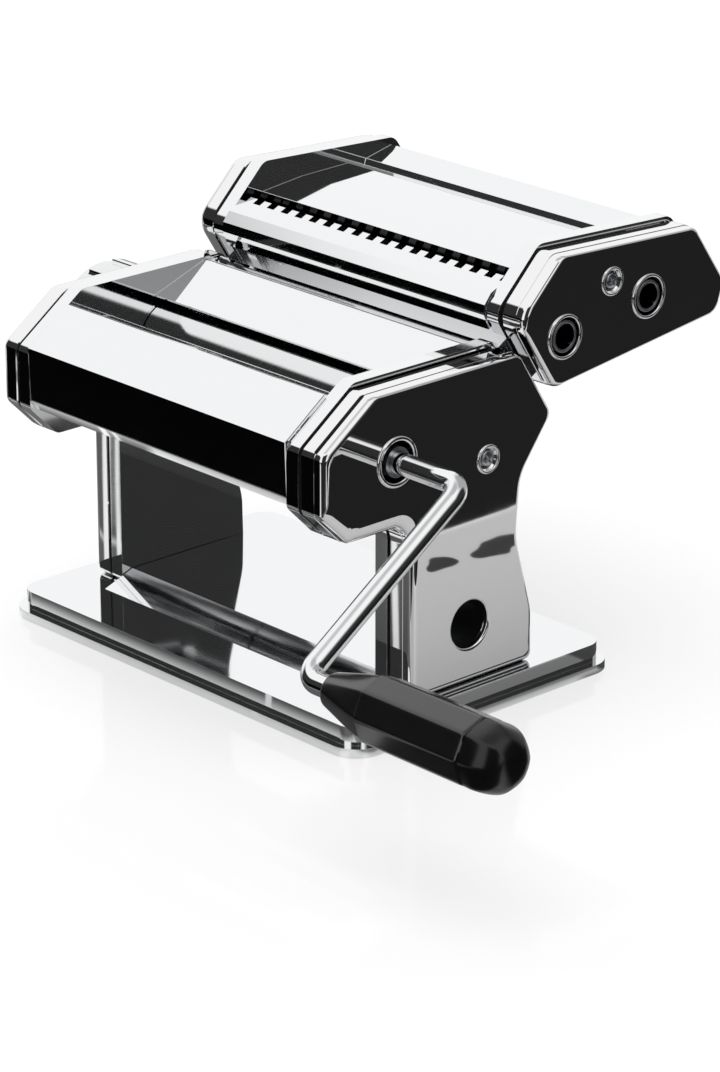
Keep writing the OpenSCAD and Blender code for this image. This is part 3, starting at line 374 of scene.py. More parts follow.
# Mesh helpers -----------------------------------------------------------------
def piece(name, mesh, material, body, replaced=()):
    """Puts a finished mesh in the scene as a piece of the machine."""
    thing = bpy.data.objects.new(name, mesh)
    bpy.context.scene.collection.objects.link(thing)
    mesh.materials.clear()
    mesh.materials.append(material)
    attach(thing, body)
    if replaced:
        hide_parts(*replaced)
    return thing


def finish_mesh(name, bm, angle=35):
    """Merges, turns faces outwards and smooths all but the sharp edges."""
    bmesh.ops.remove_doubles(bm, verts=bm.verts, dist=MERGE * MM)
    bmesh.ops.recalc_face_normals(bm, faces=bm.faces)
    limit = math.radians(angle)
    for face in bm.faces:
        face.smooth = True
    for edge in bm.edges:
        edge.smooth = len(edge.link_faces) == 2 and edge.calc_face_angle(0) < limit
    mesh = bpy.data.meshes.new(name)
    bm.to_mesh(mesh)
    bm.free()
    return mesh


def loft(bm, rings, close_start=True, close_end=True):
    """Bridges rings of equal point counts; each ring is a list of (x, y, z) in millimetres."""
    rows = [[bm.verts.new([c * MM for c in p]) for p in ring] for ring in rings]
    n = len(rows[0])
    for a, b in zip(rows, rows[1:]):
        for i in range(n):
            bm.faces.new((a[i], a[(i + 1) % n], b[(i + 1) % n], b[i]))
    if close_start:
        bm.faces.new(rows[0][::-1])
    if close_end:
        bm.faces.new(rows[-1])


def lathe_x(bm, profile, axis, steps=CIRCLE_STEPS, closed=False):
    """Turns a profile of (x, radius) points about an axis along X at (y, z)."""
    rings = [ring(circle(axis, r, steps), x) for x, r in profile]
    if closed:
        rings.append(rings[0])
    loft(bm, rings, not closed, not closed)


def weighted(thing):
    """Keeps flat faces flat in the shading next to rounded edges."""
    modifier = thing.modifiers.new("even_shading", "WEIGHTED_NORMAL")
    modifier.keep_sharp = True
    modifier.weight = 90


def lathe_piece(name, profiles, axis, material, body, replaced=(), steps=CIRCLE_STEPS):
    """A turned piece made of one or more closed profiles."""
    bm = bmesh.new()
    for profile in profiles:
        lathe_x(bm, profile, axis, steps, closed=True)
    weighted(piece(name, finish_mesh(name, bm, angle=30), material, body, replaced))


def dressed(node, material, width=0.0, segments=3, angle=32, smooth=30):
    """A copy of a CAD node with its edges eased, which stands for the node."""
    source = NODES[node]
    bm = bmesh.new()
    bm.from_mesh(source.data)
    bmesh.ops.remove_doubles(bm, verts=bm.verts, dist=NODE_MERGE * MM)
    bmesh.ops.dissolve_limit(bm, angle_limit=math.radians(NODE_FLAT), verts=bm.verts,
                             edges=bm.edges)
    if width:
        sharp = [e for e in bm.edges
                 if len(e.link_faces) == 2 and e.calc_face_angle(0) > math.radians(angle)]
        bmesh.ops.bevel(bm, geom=sharp, offset=width * MM, segments=segments, profile=0.5,
                        affect="EDGES", clamp_overlap=True)
    name = node + "_finish"
    thing = piece(name, finish_mesh(name, bm, smooth), material, body_of(source)[0],
                  (node,))
    weighted(thing)


def carve(thing, cutters):
    """Cuts the cutters' shapes out of a piece and removes them."""
    for cutter in cutters:
        modifier = thing.modifiers.new("cut", "BOOLEAN")
        modifier.operation = "DIFFERENCE"
        modifier.solver = "EXACT"
        modifier.object = cutter
        bpy.context.view_layer.update()
        shape = bpy.data.meshes.new_from_object(
            thing.evaluated_get(bpy.context.evaluated_depsgraph_get()))
        thing.modifiers.remove(modifier)
        old = thing.data
        thing.data = shape
        bpy.data.meshes.remove(old)
    for cutter in cutters:
        data = cutter.data
        bpy.data.objects.remove(cutter)
        bpy.data.meshes.remove(data)


def loop_edges(bm, points):
    """A closed loop of new edges through points in millimetres."""
    verts = [bm.verts.new([c * MM for c in p]) for p in points]
    return verts, [bm.edges.new((a, b)) for a, b in zip(verts, verts[1:] + verts[:1])]


# Side covers ------------------------------------------------------------------
SLOPE_OUT = unit((-0.717, 1))     # the way a main cover's front slope faces
REFLECTION_LINE_START = 0.93                 # cosine to that way at which the painted dark reflection line begins
REFLECTION_LINE_GROWTH = 0.06                # rise of the cosine over which it gets its full width


def drawn_in(points, d):
    """Points of an outline, each moved straight inwards by d."""
    result = []
    for i, p in enumerate(points):
        out = outward(points, i)
        result.append((p[0] - d * out[0], p[1] - d * out[1]))
    return result


def cover(name, outline, face, side, holes, body, node):
    """Chromed cover: a small step round it, a deep rounded edge, a flat face, hollow inside."""
    outer_x = RIGHT_X if side > 0 else LEFT_X
    back_x = outer_x - COVER_T
    ledge = outer_x - LEDGE_X
    shoulder = outer_x - EDGE_D
    outer = rounded(outline)
    inner = rounded(face)
    eased = rounded(inset(outline, COVER_EASE))
    crease = drawn_in(outer, LEDGE_D)
    hollow = rounded(inset(outline, COVER_WALL))

    rings = [ring(points, x, side) for points, x in (
        (hollow, back_x), (hollow, COVER_X), (eased, COVER_X), (outer, COVER_X + COVER_EASE),
        (outer, ledge - LEDGE_RISE), (crease, ledge))]
    for k in range(EDGE_STEPS + 1):
        a = math.pi / 2 * k / EDGE_STEPS
        t = 1 - math.cos(a)
        between = [(p[0] + (q[0] - p[0]) * t, p[1] + (q[1] - p[1]) * t)
                   for p, q in zip(crease, inner)]
        rings.append(ring(between, shoulder + EDGE_D * math.sin(a), side))
    bm = bmesh.new()
    loft(bm, rings, False, False)

    rims = [[] for _ in holes]
    for x, points in ((outer_x, inner), (back_x, hollow)):
        edges = loop_edges(bm, ring(points, x, side))[1]
        for rim, (axis, r) in zip(rims, holes):
            verts, more = loop_edges(bm, ring(circle(axis, r), x, side))
            rim.append(verts)
            edges += more
        bmesh.ops.triangle_fill(bm, use_beauty=True, edges=edges)
    for front, back in rims:
        for i in range(len(front)):
            k = (i + 1) % len(front)
            bm.faces.new((front[i], front[k], back[k], back[i]))
    thing = piece(name, finish_mesh(name, bm, angle=40), CHROME_COVER, body, (node,))
    weighted(thing)


cover("right_cover_shell", MAIN, MAIN_FACE, 1,
      [(DRIVE, HUB_HOLE_R), (CLAMP, CLAMP_R + LIP_T), (MAIN_SCREW, SCREW_HOLE_R)],
      "frame", "right_cover")
cover("left_cover_shell", MAIN, MAIN_FACE, -1, [(LEFT_SCREW, SCREW_HOLE_R)],
      "frame", "left_cover")
cover("cutter_right_cover_shell", CUTTER, CUTTER_FACE, 1,
      [(WIDE, SOCKET_HOLE_R), (FINE, SOCKET_HOLE_R), (CUTTER_SCREW, SCREW_HOLE_R)],
      "cutter_head", "cutter_right_cover")
cover("cutter_left_cover_shell", CUTTER, CUTTER_FACE, -1, [(CUTTER_SCREW, SCREW_HOLE_R)],
      "cutter_head", "cutter_left_cover")


def groove_shade_strip(name, outline, side, body):
    """Black strip in the groove between a flank and its cover: painted shade for that groove."""
    low, high = rounded(inset(outline, STRIP_D)), rounded(inset(outline, STRIP_D + STRIP_T))
    inner_x, outer_x = STRIP_X
    rings = [ring(points, x, side) for points, x in (
        (high, outer_x), (high, inner_x), (low, inner_x), (low, outer_x), (high, outer_x))]
    bm = bmesh.new()
    loft(bm, rings, False, False)
    piece(name, finish_mesh(name, bm), BLACK_PAINTED_SHADE, body)


# strips of painted shade in the grooves round the four covers
groove_shade_strip("right_groove_painted_shade", MAIN, 1, "frame")
groove_shade_strip("left_groove_painted_shade", MAIN, -1, "frame")
groove_shade_strip("cutter_right_groove_painted_shade", CUTTER, 1, "cutter_head")
groove_shade_strip("cutter_left_groove_painted_shade", CUTTER, -1, "cutter_head")


def reflection_line(name, outline, x_low, x_high, body):
    """Black line let into the front slope of a cover, which runs out at both ends: a painted dark
    reflection, not a real seal.
    """
    points = rounded(outline)
    half = (x_high - x_low) / 2
    mid = (x_low + x_high) / 2
    rings = []
    for i, p in enumerate(points):
        out = outward(points, i)
        share = (out[0] * SLOPE_OUT[0] + out[1] * SLOPE_OUT[1] - REFLECTION_LINE_START) / REFLECTION_LINE_GROWTH
        if share > 0:
            reach = half * min(1.0, share)
            rings.append([(mid + w * reach, p[0] + h * out[0], p[1] + h * out[1]) for w, h in (
                (-1, -REFLECTION_LINE_SINK), (1, -REFLECTION_LINE_SINK), (1, REFLECTION_LINE_RISE), (-1, REFLECTION_LINE_RISE))])
    bm = bmesh.new()
    loft(bm, rings)
    piece(name, finish_mesh(name, bm), BLACK_PAINTED_SHADE, body)


# the right cover's painted dark reflection line
reflection_line("right_painted_reflection_line", MAIN, *REFLECTION_LINE_X, "frame")

# Drawn collar of the clamp hole: rolls in from the face and runs inwards to the flank
COLLAR_STEPS = 6
collar_end = RIGHT_X - 2 * LIP_T
collar = [(RIGHT_X, CLAMP_R + LIP_T)]
for k in range(COLLAR_STEPS + 1):
    a = math.pi / 2 * k / COLLAR_STEPS
    collar.append((RIGHT_X - LIP_T * (1 - math.cos(a)), CLAMP_R + LIP_T * (1 - math.sin(a))))
collar += [(collar_end, CLAMP_R), (collar_end, CLAMP_R + LIP_T)]
lathe_piece("clamp_hole_lip", [collar], CLAMP, CHROME_COVER, "frame")
# the bore, in steel painted near black: painted shade
lathe_piece("clamp_hole_bore", [[(BORE_X, CLAMP_R), (collar_end, CLAMP_R),
                                 (collar_end, CLAMP_R + LIP_T), (BORE_X, CLAMP_R + LIP_T)]],
            CLAMP, DULL_STEEL_PAINTED_SHADE, "frame")


# Ring and cross-slotted screw -------------------------------------------------
CROWN_STEPS = 10                  # steps over a ring's rounded crown
HEAD_R = 3.1                      # radius of a cover screw's head
HEAD_SINK = 1.3                   # how far the head's underside lies below the cover's face
HEAD_SIDE = 0.6                   # height of the head's straight side
HEAD_DOME = 1.0                   # height of its dome
HEAD_STEPS = 6                    # steps over the dome
HEAD_FLAT = 0.02                  # radius of the flat that closes the dome
SHANK_R, SHANK_LEN = 1.5, 6
SLOT_SIZE = (2.4, 4.2, 0.85)      # cutter of one slot: along X, its length and its width
SLOT_X = 1.9                      # the cutter's middle above the head's underside
CROSS_TURN = 0.6                  # how far the cross is turned, in radians
HEAD_ROUND_STEPS = 48             # steps round the head
SMALL_STEPS = 64                  # steps round other small turned pieces


def ring_profile(x, inner_r, outer_r, height, depth):
    """A raised ring with a rounded crown, for a turned piece."""
    mid = (inner_r + outer_r) / 2
    half = (outer_r - inner_r) / 2
    crown = [(x + height * math.sin(math.pi * k / CROWN_STEPS),
              mid - half * math.cos(math.pi * k / CROWN_STEPS)) for k in range(CROWN_STEPS + 1)]
    return [(x - depth, inner_r)] + crown + [(x - depth, outer_r)]


def mirrored(profile, side):
    return [(side * x, r) for x, r in profile]


def slot_cutter(spot, turn):
    """A bar across a screw's head, which cuts one of its two slots."""
    bm = bmesh.new()
    bmesh.ops.create_cube(bm, size=1.0)
    for v in bm.verts:
        v.co = Vector([c * size for c, size in zip(v.co, SLOT_SIZE)]) * MM
    bmesh.ops.transform(bm, verts=bm.verts,
                        matrix=Matrix.Translation(spot * MM) @ Matrix.Rotation(turn, 4, "X"))
    mesh = bpy.data.meshes.new("slot")
    bm.to_mesh(mesh)
    bm.free()
    tool = bpy.data.objects.new("slot", mesh)
    bpy.context.scene.collection.objects.link(tool)
    return tool


def cross_screw(name, x, side, axis, body, replaced=()):
    """Pan head screw with a cross recess, in a dished ring."""
    base = x - HEAD_SINK
    dome = [(base - SHANK_LEN, SHANK_R), (base, SHANK_R), (base, HEAD_R),
            (base + HEAD_SIDE, HEAD_R)]
    for k in range(1, HEAD_STEPS + 1):
        a = math.pi / 2 * k / HEAD_STEPS
        dome.append((base + HEAD_SIDE + HEAD_DOME * math.sin(a), HEAD_R * math.cos(a) + HEAD_FLAT))
    bm = bmesh.new()
    lathe_x(bm, mirrored(dome, side), axis, HEAD_ROUND_STEPS)
    thing = piece(name, finish_mesh(name, bm, angle=40), ZINC_STEEL, body, replaced)
    spot = Vector((side * (base + SLOT_X), *axis))
    carve(thing, [slot_cutter(spot, turn) for turn in (CROSS_TURN, CROSS_TURN + math.pi / 2)])
    weighted(thing)
    # the dish from its hole outwards, the ring round it, and the hidden back
    seat = ([(x - 2.0, 1.7), (x - 1.4, 1.7), (x - 1.3, 3.6), (x - 0.2, 4.4)]
            + ring_profile(x, 4.6, 5.8, height=0.7, depth=0.05)[1:]
            + [(x - 0.3, 5.6), (x - 2.0, 4.4)])
    lathe_piece(name + "_seat", [mirrored(seat, side)], axis, CHROME_COVER, body,
                steps=SMALL_STEPS)


cross_screw("right_cover_screw", RIGHT_X, 1, MAIN_SCREW, "frame")
cross_screw("left_cover_screw", LEFT_X, -1, LEFT_SCREW, "frame", ("cover_screws",))
cross_screw("cutter_right_screw", RIGHT_X, 1, CUTTER_SCREW, "cutter_head")
cross_screw("cutter_left_screw", LEFT_X, -1, CUTTER_SCREW, "cutter_head", ("cutter_screws",))

# Hub ring round the crank's socket, and the rings and shaft ends of the cutter's sockets
for name, inner_r, outer_r, axis, body, replaced in (
        ("hub_ring_rim", 8.0, 10.0, DRIVE, "frame", ("hub_ring",)),
        ("wide_socket_rim", 7.5, 9.0, WIDE, "cutter_head", ("socket_rings",)),
        ("fine_socket_rim", 7.5, 9.0, FINE, "cutter_head", ())):
    lathe_piece(name, [ring_profile(RIGHT_X, inner_r, outer_r, height=0.9, depth=3.2)], axis,
                CHROME_COVER, body, replaced)
for label, axis, node in (("wide", WIDE, "wide_driver"), ("fine", FINE, "fine_driver")):
    lip = ring_profile(RIGHT_X - 0.3, 5.0, 6.4, height=0.6, depth=1.2)
    lathe_piece(label + "_shaft_lip", [lip], axis, GEAR_STEEL, body_of(NODES[node])[0],
                steps=SMALL_STEPS)

# Smooth rollers ---------------------------------------------------------------
ROLLER_STEPS = 160      # steps round a smooth roller
ROLLER_EDGE = 0.6       # the eased edge of a roller
DRIVE_BORE = 6.0
MOVABLE_BORE = 8.0
NECK_X, NECK_R = -86.2, 10.0      # end and radius of the movable roller's neck


def roller_profile(bore):
    e = ROLLER_EDGE
    return [(-ROLLER_X, bore), (-ROLLER_X, ROLLER_R - e), (-ROLLER_X + e, ROLLER_R),
            (ROLLER_X - e, ROLLER_R), (ROLLER_X, ROLLER_R - e), (ROLLER_X, bore)]


lathe_piece("drive_roller_surface", [roller_profile(DRIVE_BORE)], DRIVE, ROLLER_STEEL,
            "drive_roller", ("drive_roller",), steps=ROLLER_STEPS)
neck = ([(NECK_X, MOVABLE_BORE), (NECK_X, NECK_R), (-ROLLER_X, NECK_R)]
        + roller_profile(MOVABLE_BORE)[1:])
lathe_piece("movable_roller_surface", [neck], MOVABLE, ROLLER_STEEL, "movable_roller",
            ("movable_roller",), steps=ROLLER_STEPS)

# CAD nodes whose shape is right, with eased edges -----------------------------
PRESSED = {"segments": 2, "angle": 14, "smooth": 14}      # sheets with shallow bends

for node in ("right_flank", "left_flank", "cutter_right_flank", "cutter_left_flank"):
    dressed(node, CHROME_SHEET, 0.45)
for node, width in (
        ("front_panel", 0.3), ("hopper_chute", 0.3), ("rear_panel", 0.3),
        ("cutter_front_sheet", 0.0), ("cutter_apron", 0.3), ("cutter_middle_sheet", 0.3),
        ("cutter_rear_sheet", 0.3), ("cutter_rails", 0.15)):
    dressed(node, CHROME_SHEET, width, **PRESSED)
dressed("base_plate", CHROME_SHEET, 0.9, **{**PRESSED, "segments": 5})
dressed("knob", CHROME_KNOB, 0.5)

# CAD nodes that are shown as they are
for material, names in (
        (ZINC_STEEL, ("tie_rods", "tie_rod_nuts", "cover_posts", "base_screws", "drive_shaft",
                      "thickness_shaft", "index_pin", "knob_washer", "knob_screw", "knob_spring",
                      "grip_clip", "cutter_posts", "cutter_tie_rods", "cutter_rod_nuts")),
        (BRONZE, ("drive_bushes", "roller_bushes", "cutter_bushes")),
        (GEAR_STEEL, ("drive_gear", "movable_gear", "wide_driver_gear", "wide_follower_gear",
                      "fine_driver_gear", "fine_follower_gear")),
        (CUTTING_STEEL, ("wide_driver", "wide_follower", "fine_driver", "fine_follower")),
        (GREY_PLASTIC, ("front_scraper", "rear_scraper", "cutter_combs")),
        (WHITE_PLASTIC, ("dial_plate",)),
        (RUBBER, ("rubber_feet",))):
    for name in names:
        slots = NODES[name].material_slots
        if slots:
            slots[0].material = material
        else:
            NODES[name].data.materials.append(material)


# Bent and coiled round bar ------------------------------------------------------
def new_tree(name, inputs):
    """A geometry node group with the given inputs; gives it and the sockets that feed its nodes."""
    tree = bpy.data.node_groups.new(name, "GeometryNodeTree")
    for label, kind in inputs:
        tree.interface.new_socket(name=label, in_out="INPUT", socket_type="NodeSocket" + kind)
    return tree, tree.nodes.new("NodeGroupInput").outputs


def end_tree(tree, label, geometry, finish):
    """Realizes the tree's geometry, sets its material and puts it out."""
    tree.interface.new_socket(name=label, in_out="OUTPUT", socket_type="NodeSocketGeometry")
    real = add(tree, "GeometryNodeRealizeInstances", {"Geometry": geometry})
    done = add(tree, "GeometryNodeSetMaterial",
               {"Geometry": real.outputs["Geometry"], "Material": finish})
    add(tree, "NodeGroupOutput", {label: done.outputs["Geometry"]})
    return tree


def bar_tree():
    """Geometry nodes that run a round bar along a line of points."""
    tree, given = new_tree("round_bar_on_a_path", (
        ("Path", "Geometry"), ("Bar Radius", "Float"), ("Sides", "Int"), ("Finish", "Material")))
    path = add(tree, "GeometryNodeMeshToCurve", {"Mesh": given["Path"]})
    section = add(tree, "GeometryNodeCurvePrimitiveCircle",
                  {"Resolution": given["Sides"], "Radius": given["Bar Radius"]})
    bar = add(tree, "GeometryNodeCurveToMesh",
              {"Curve": path.outputs["Curve"], "Profile Curve": section.outputs["Curve"],
               "Fill Caps": True})
    soft = add(tree, "GeometryNodeSetShadeSmooth", {"Geometry": bar.outputs["Mesh"]})
    return end_tree(tree, "Bar", soft.outputs["Geometry"], given["Finish"])


def mark_tree():
    """Geometry nodes that set bars in a fan round the X axis."""
    tree, given = new_tree("marks_in_a_fan", (
        ("Start", "Geometry"), ("Count", "Int"), ("First Angle", "Float"),
        ("Angle Between", "Float"), ("Fan Radius", "Float"), ("Mark Size", "Vector"),
        ("Finish", "Material")))
    points = add(tree, "GeometryNodeMeshLine", {"Count": given["Count"], "Offset": (0, 0, 0)})
    mark = add(tree, "GeometryNodeMeshCube", {"Size": given["Mark Size"]})
    reach = add(tree, "ShaderNodeCombineXYZ", {"Z": given["Fan Radius"]})
    out = add(tree, "GeometryNodeTransform",
              {"Geometry": mark.outputs["Mesh"], "Translation": reach.outputs[0]})
    index = add(tree, "GeometryNodeInputIndex")
    turn = add(tree, "ShaderNodeMath",
               {0: index.outputs[0], 1: given["Angle Between"], 2: given["First Angle"]},
               operation="MULTIPLY_ADD")
    facing = add(tree, "ShaderNodeCombineXYZ", {"X": turn.outputs[0]})
    fan = add(tree, "GeometryNodeInstanceOnPoints",
              {"Points": points.outputs["Mesh"], "Instance": out.outputs["Geometry"],
               "Rotation": facing.outputs[0]})
    return end_tree(tree, "Marks", fan.outputs["Instances"], given["Finish"])


def grown(name, start, tree, sizes, shift=(0, 0, 0)):
    """Runs a geometry node tree on a mesh and keeps its result as a plain mesh."""
    thing = bpy.data.objects.new(name + "_start", start)
    bpy.context.scene.collection.objects.link(thing)
    modifier = thing.modifiers.new("grow", "NODES")
    modifier.node_group = tree
    for item in tree.interface.items_tree:
        if item.in_out == "INPUT" and item.name in sizes:
            modifier[item.identifier] = sizes[item.name]
    thing.update_tag()
    bpy.context.view_layer.update()
    mesh = bpy.data.meshes.new_from_object(
        thing.evaluated_get(bpy.context.evaluated_depsgraph_get()))
    mesh.name = name
    mesh.transform(Matrix.Translation(Vector(shift) * MM))
    thing.modifiers.remove(modifier)
    bpy.data.objects.remove(thing)
    return mesh


def path_mesh(name, points):
    """A line of edges through points in millimetres."""
    mesh = bpy.data.meshes.new(name)
    mesh.from_pydata([[c * MM for c in p] for p in points],
                     [(i, i + 1) for i in range(len(points) - 1)], [])
    return mesh


ROUND_BAR = bar_tree()
ARM_SLOPE = math.radians(34.4)    # how far the crank's arm hangs below the level
ARM_LEN = 94.0                    # from the rod's axis in the socket to the grip's axis
ARM_X = 130.0                     # where the arm runs
BEND_R = 7.3                      # radius of the rod's two bends
BEND_STEPS = 16
ROD_R = 4.25
ROD_START, ROD_END = 86.5, 227.0  # ends of the round bar along X
TIP_X, TIP_HALF = 78.5, 2.9       # end and half width of the rod's square tip
TIP_EASE, TIP_TAPER = 0.5, 0.8    # how much the tip narrows at its end, and over what length
TIP_LAP = 0.2                     # how far the tip reaches into the round bar


def arm_point(x, s):
    """The point at x, s along the arm's way from the drive axis."""
    return (x, DRIVE[0] - s * math.cos(ARM_SLOPE), DRIVE[1] - s * math.sin(ARM_SLOPE))


bend = [math.pi / 2 * k / BEND_STEPS for k in range(BEND_STEPS + 1)]
path = [arm_point(ROD_START, 0)]
path += [arm_point(ARM_X - BEND_R + BEND_R * math.sin(a), BEND_R - BEND_R * math.cos(a))
         for a in bend]
path += [arm_point(ARM_X + BEND_R - BEND_R * math.cos(a), ARM_LEN - BEND_R + BEND_R * math.sin(a))
         for a in bend]
path += [arm_point(ROD_END, ARM_LEN)]
rod_mesh = grown("crank_rod_bar", path_mesh("crank_path", path), ROUND_BAR,
                 {"Bar Radius": ROD_R * MM, "Sides": 64, "Finish": CHROME_ROD})
piece("crank_rod_bar", rod_mesh, CHROME_ROD, "crank", ("crank_rod",))

# Square tip of the rod, tapered at its end, which turns the rollers
SQUARE = ((-1, -1), (1, -1), (1, 1), (-1, 1))
tip = [[(x, DRIVE[0] + a * half, DRIVE[1] + b * half) for a, b in SQUARE] for x, half in (
    (TIP_X, TIP_HALF - TIP_EASE), (TIP_X + TIP_TAPER, TIP_HALF), (ROD_START + TIP_LAP, TIP_HALF))]
bm = bmesh.new()
loft(bm, tip)
to_axis = Vector((0, *DRIVE)) * MM
bmesh.ops.transform(bm, verts=bm.verts, matrix=Matrix.Translation(to_axis)
                    @ Matrix.Rotation(math.pi + ARM_SLOPE, 4, "X") @ Matrix.Translation(-to_axis))
piece("crank_rod_tip", finish_mesh("crank_rod_tip", bm), CHROME_ROD, "crank")

# Compression spring behind the knob
SPRING_LOW, SPRING_HIGH = -109.25, -100.25
SPRING_R, WIRE_R, TURNS = 6.2, 0.7, 4
TURN_STEPS = 32
coil = []
for i in range(TURNS * TURN_STEPS + 1):
    t = i / (TURNS * TURN_STEPS)
    a = 2 * math.pi * TURNS * t
    coil.append((SPRING_HIGH + (SPRING_LOW - SPRING_HIGH) * t, KNOB[0] + SPRING_R * math.cos(a),
                 KNOB[1] + SPRING_R * math.sin(a)))
spring_mesh = grown("knob_spring_wire", path_mesh("coil_path", coil), ROUND_BAR,
                    {"Bar Radius": WIRE_R * MM, "Sides": 12, "Finish": ZINC_STEEL})
spring = piece("knob_spring_wire", spring_mesh, ZINC_STEEL,
               body_of(NODES["knob_spring"])[0], ("knob_spring",))
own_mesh(spring)

# Ten painted marks round the lower half of the knob, one for each thickness
MARK_T = 0.12
marks = grown("thickness_marks", bpy.data.meshes.new("fan_start"), mark_tree(),
              {"Count": 10, "First Angle": math.radians(90), "Angle Between": math.radians(20),
               "Fan Radius": 25.6 * MM, "Mark Size": (MARK_T * MM, 0.7 * MM, 1.9 * MM),
               "Finish": MARK_PAINT}, (-LEFT_X - MARK_T / 2, *KNOB))
piece("thickness_marks", marks, MARK_PAINT, "frame")


# Grip: a cone, a step and eight soft flats that swell towards the domed cap -----
GRIP_AXIS = arm_point(0, ARM_LEN)[1:]
GRIP_START = 145.0
CAP_X = 221.0
GRIP_END = 237.0
GRIP_BORE = 4.4
GRIP_TURN = math.radians(20)      # how far the flats are turned round the grip
FLAT_LIMIT = 0.985                # keeps the corners between the flats soft
# (x from the grip's start, radius, how flat its sides are)
GRIP_PROFILE = (
    (0, 5.9, 0), (0.3, 6.5, 0), (1.0, 6.8, 0), (6, 8.2, 0.3), (14, 10.5, 0.7), (21, 12.2, 0.9),
    (24.4, 12.5, 0.9), (24.5, 13.2, 1.0), (24.9, 13.4, 1.0), (45, 13.45, 1.0), (62, 13.5, 1.0),
    (74, 13.5, 1.0), (75.2, 13.4, 1.0), (76, 12.6, 0.9))
CAP_BORE = 4.6
CAP_R, CAP_EASE, CAP_FLAT = 13.4, 0.4, 0.8
CAP_STRAIGHT = 3.0                # length of the cap's straight side
DOME_STEPS = 15
DOME_POWER = 0.8                  # below 1 the dome is fuller than a half ellipse


def eight_sided(x, r, flat, steps=CIRCLE_STEPS):
    """A ring between a circle (flat 0) and an octagon with soft corners (flat 1), within r."""
    eighth = math.pi / 8
    points = []
    for i in range(steps):
        a = 2 * math.pi * i / steps
        b = (a - GRIP_TURN + eighth) % (math.pi / 4) - eighth
        octagon = math.cos(eighth) / math.cos(b)
        soft = 1 - flat + flat * min(octagon, FLAT_LIMIT)
        points.append((x, GRIP_AXIS[0] + r * soft * math.cos(a),
                       GRIP_AXIS[1] + r * soft * math.sin(a)))
    return points


rings = [eight_sided(CAP_X, GRIP_BORE, 0), eight_sided(GRIP_START, GRIP_BORE, 0)]
rings += [eight_sided(GRIP_START + x, r, flat) for x, r, flat in GRIP_PROFILE]
bm = bmesh.new()
loft(bm, rings + [rings[0]], False, False)
weighted(piece("grip_body", finish_mesh("grip_body", bm, angle=50), BLACK_ABS, "grip",
               ("grip",)))

rings = [eight_sided(CAP_X, CAP_BORE, 0), eight_sided(CAP_X, CAP_R - 1.0, CAP_FLAT),
         eight_sided(CAP_X + CAP_EASE, 13.3, CAP_FLAT)]
dome = GRIP_END - CAP_X - CAP_STRAIGHT
for k in range(DOME_STEPS):
    a = math.pi / 2 * k / DOME_STEPS
    rings.append(eight_sided(CAP_X + CAP_STRAIGHT + dome * math.sin(a),
                             CAP_R * math.cos(a) ** DOME_POWER, CAP_FLAT * (1 - k / DOME_STEPS)))
bm = bmesh.new()
loft(bm, rings)
piece("grip_end_cap", finish_mesh("grip_end_cap", bm, angle=60), BLACK_CAP, "grip",
      ("grip_cap",))


# Floor, light and camera --------------------------------------------------------
# The camera and soft light find a pale floor under a white sky. Mirror rays alone also find dark
# and grey patches on both, placed for this camera, so that the chrome has dark and light fields.
FLOOR_SIZE = 6.0
FLOOR_WHITE = "#f8f8f8"
FLOOR_DARK = "#040404"            # what the patches' full strength shows
FLOOR_ROUGH = 0.07
FLOOR_IOR = 1.5
FLOOR_SHINE = 0.5                 # specular level round the machine
SHINE_FADE = (0.30, 0.60)         # distance from the middle over which that ends, in metres
CAMERA_LIFT = 0.58                # share of plain white in the floor that the camera sees
STREAK_SOFT = 0.0006
SKY_DEPTH = 0.97                  # how dark the sky's patches can get
KEY_PLACE, KEY_TARGET = (-0.25, -0.1, 1.6), (0, 0, 0.05)
KEY_SIZE, KEY_POWER = 1.4, 8
AZIMUTH, HEIGHT = math.radians(47.3), math.radians(20.75)
CAMERA_PLACE = (20.86, 40.79, 1678.85)      # to the right, up and back of the origin, in mm
FOCAL, SENSOR = 141.7, 36.0                 # in millimetres


def math_node(tree, operation, a, b=0.0):
    return add(tree, "ShaderNodeMath", {0: a, 1: b}, operation=operation).outputs[0]


def ramp(tree, value, low, high):
    """0 below low, 1 above high, smooth between."""
    return add(tree, "ShaderNodeMapRange", {"Value": value, "From Min": low, "From Max": high},
               interpolation_type="SMOOTHSTEP").outputs["Result"]


def inverse(tree, value):
    return math_node(tree, "SUBTRACT", 1.0, value)


def minus(tree, value):
    return math_node(tree, "MULTIPLY", value, -1.0)


def both(tree, *values):
    """The product of some masks."""
    result = values[0]
    for value in values[1:]:
        result = math_node(tree, "MULTIPLY", result, value)
    return result


def either(tree, *values):
    """The strongest of some masks."""
    result = values[0]
    for value in values[1:]:
        result = math_node(tree, "MAXIMUM", result, value)
    return result


def band(tree, value, low, high, soft):
    """1 between low and high, with edges of half width soft."""
    rise = ramp(tree, value, low - soft, low + soft)
    return math_node(tree, "SUBTRACT", rise, ramp(tree, value, high - soft, high + soft))


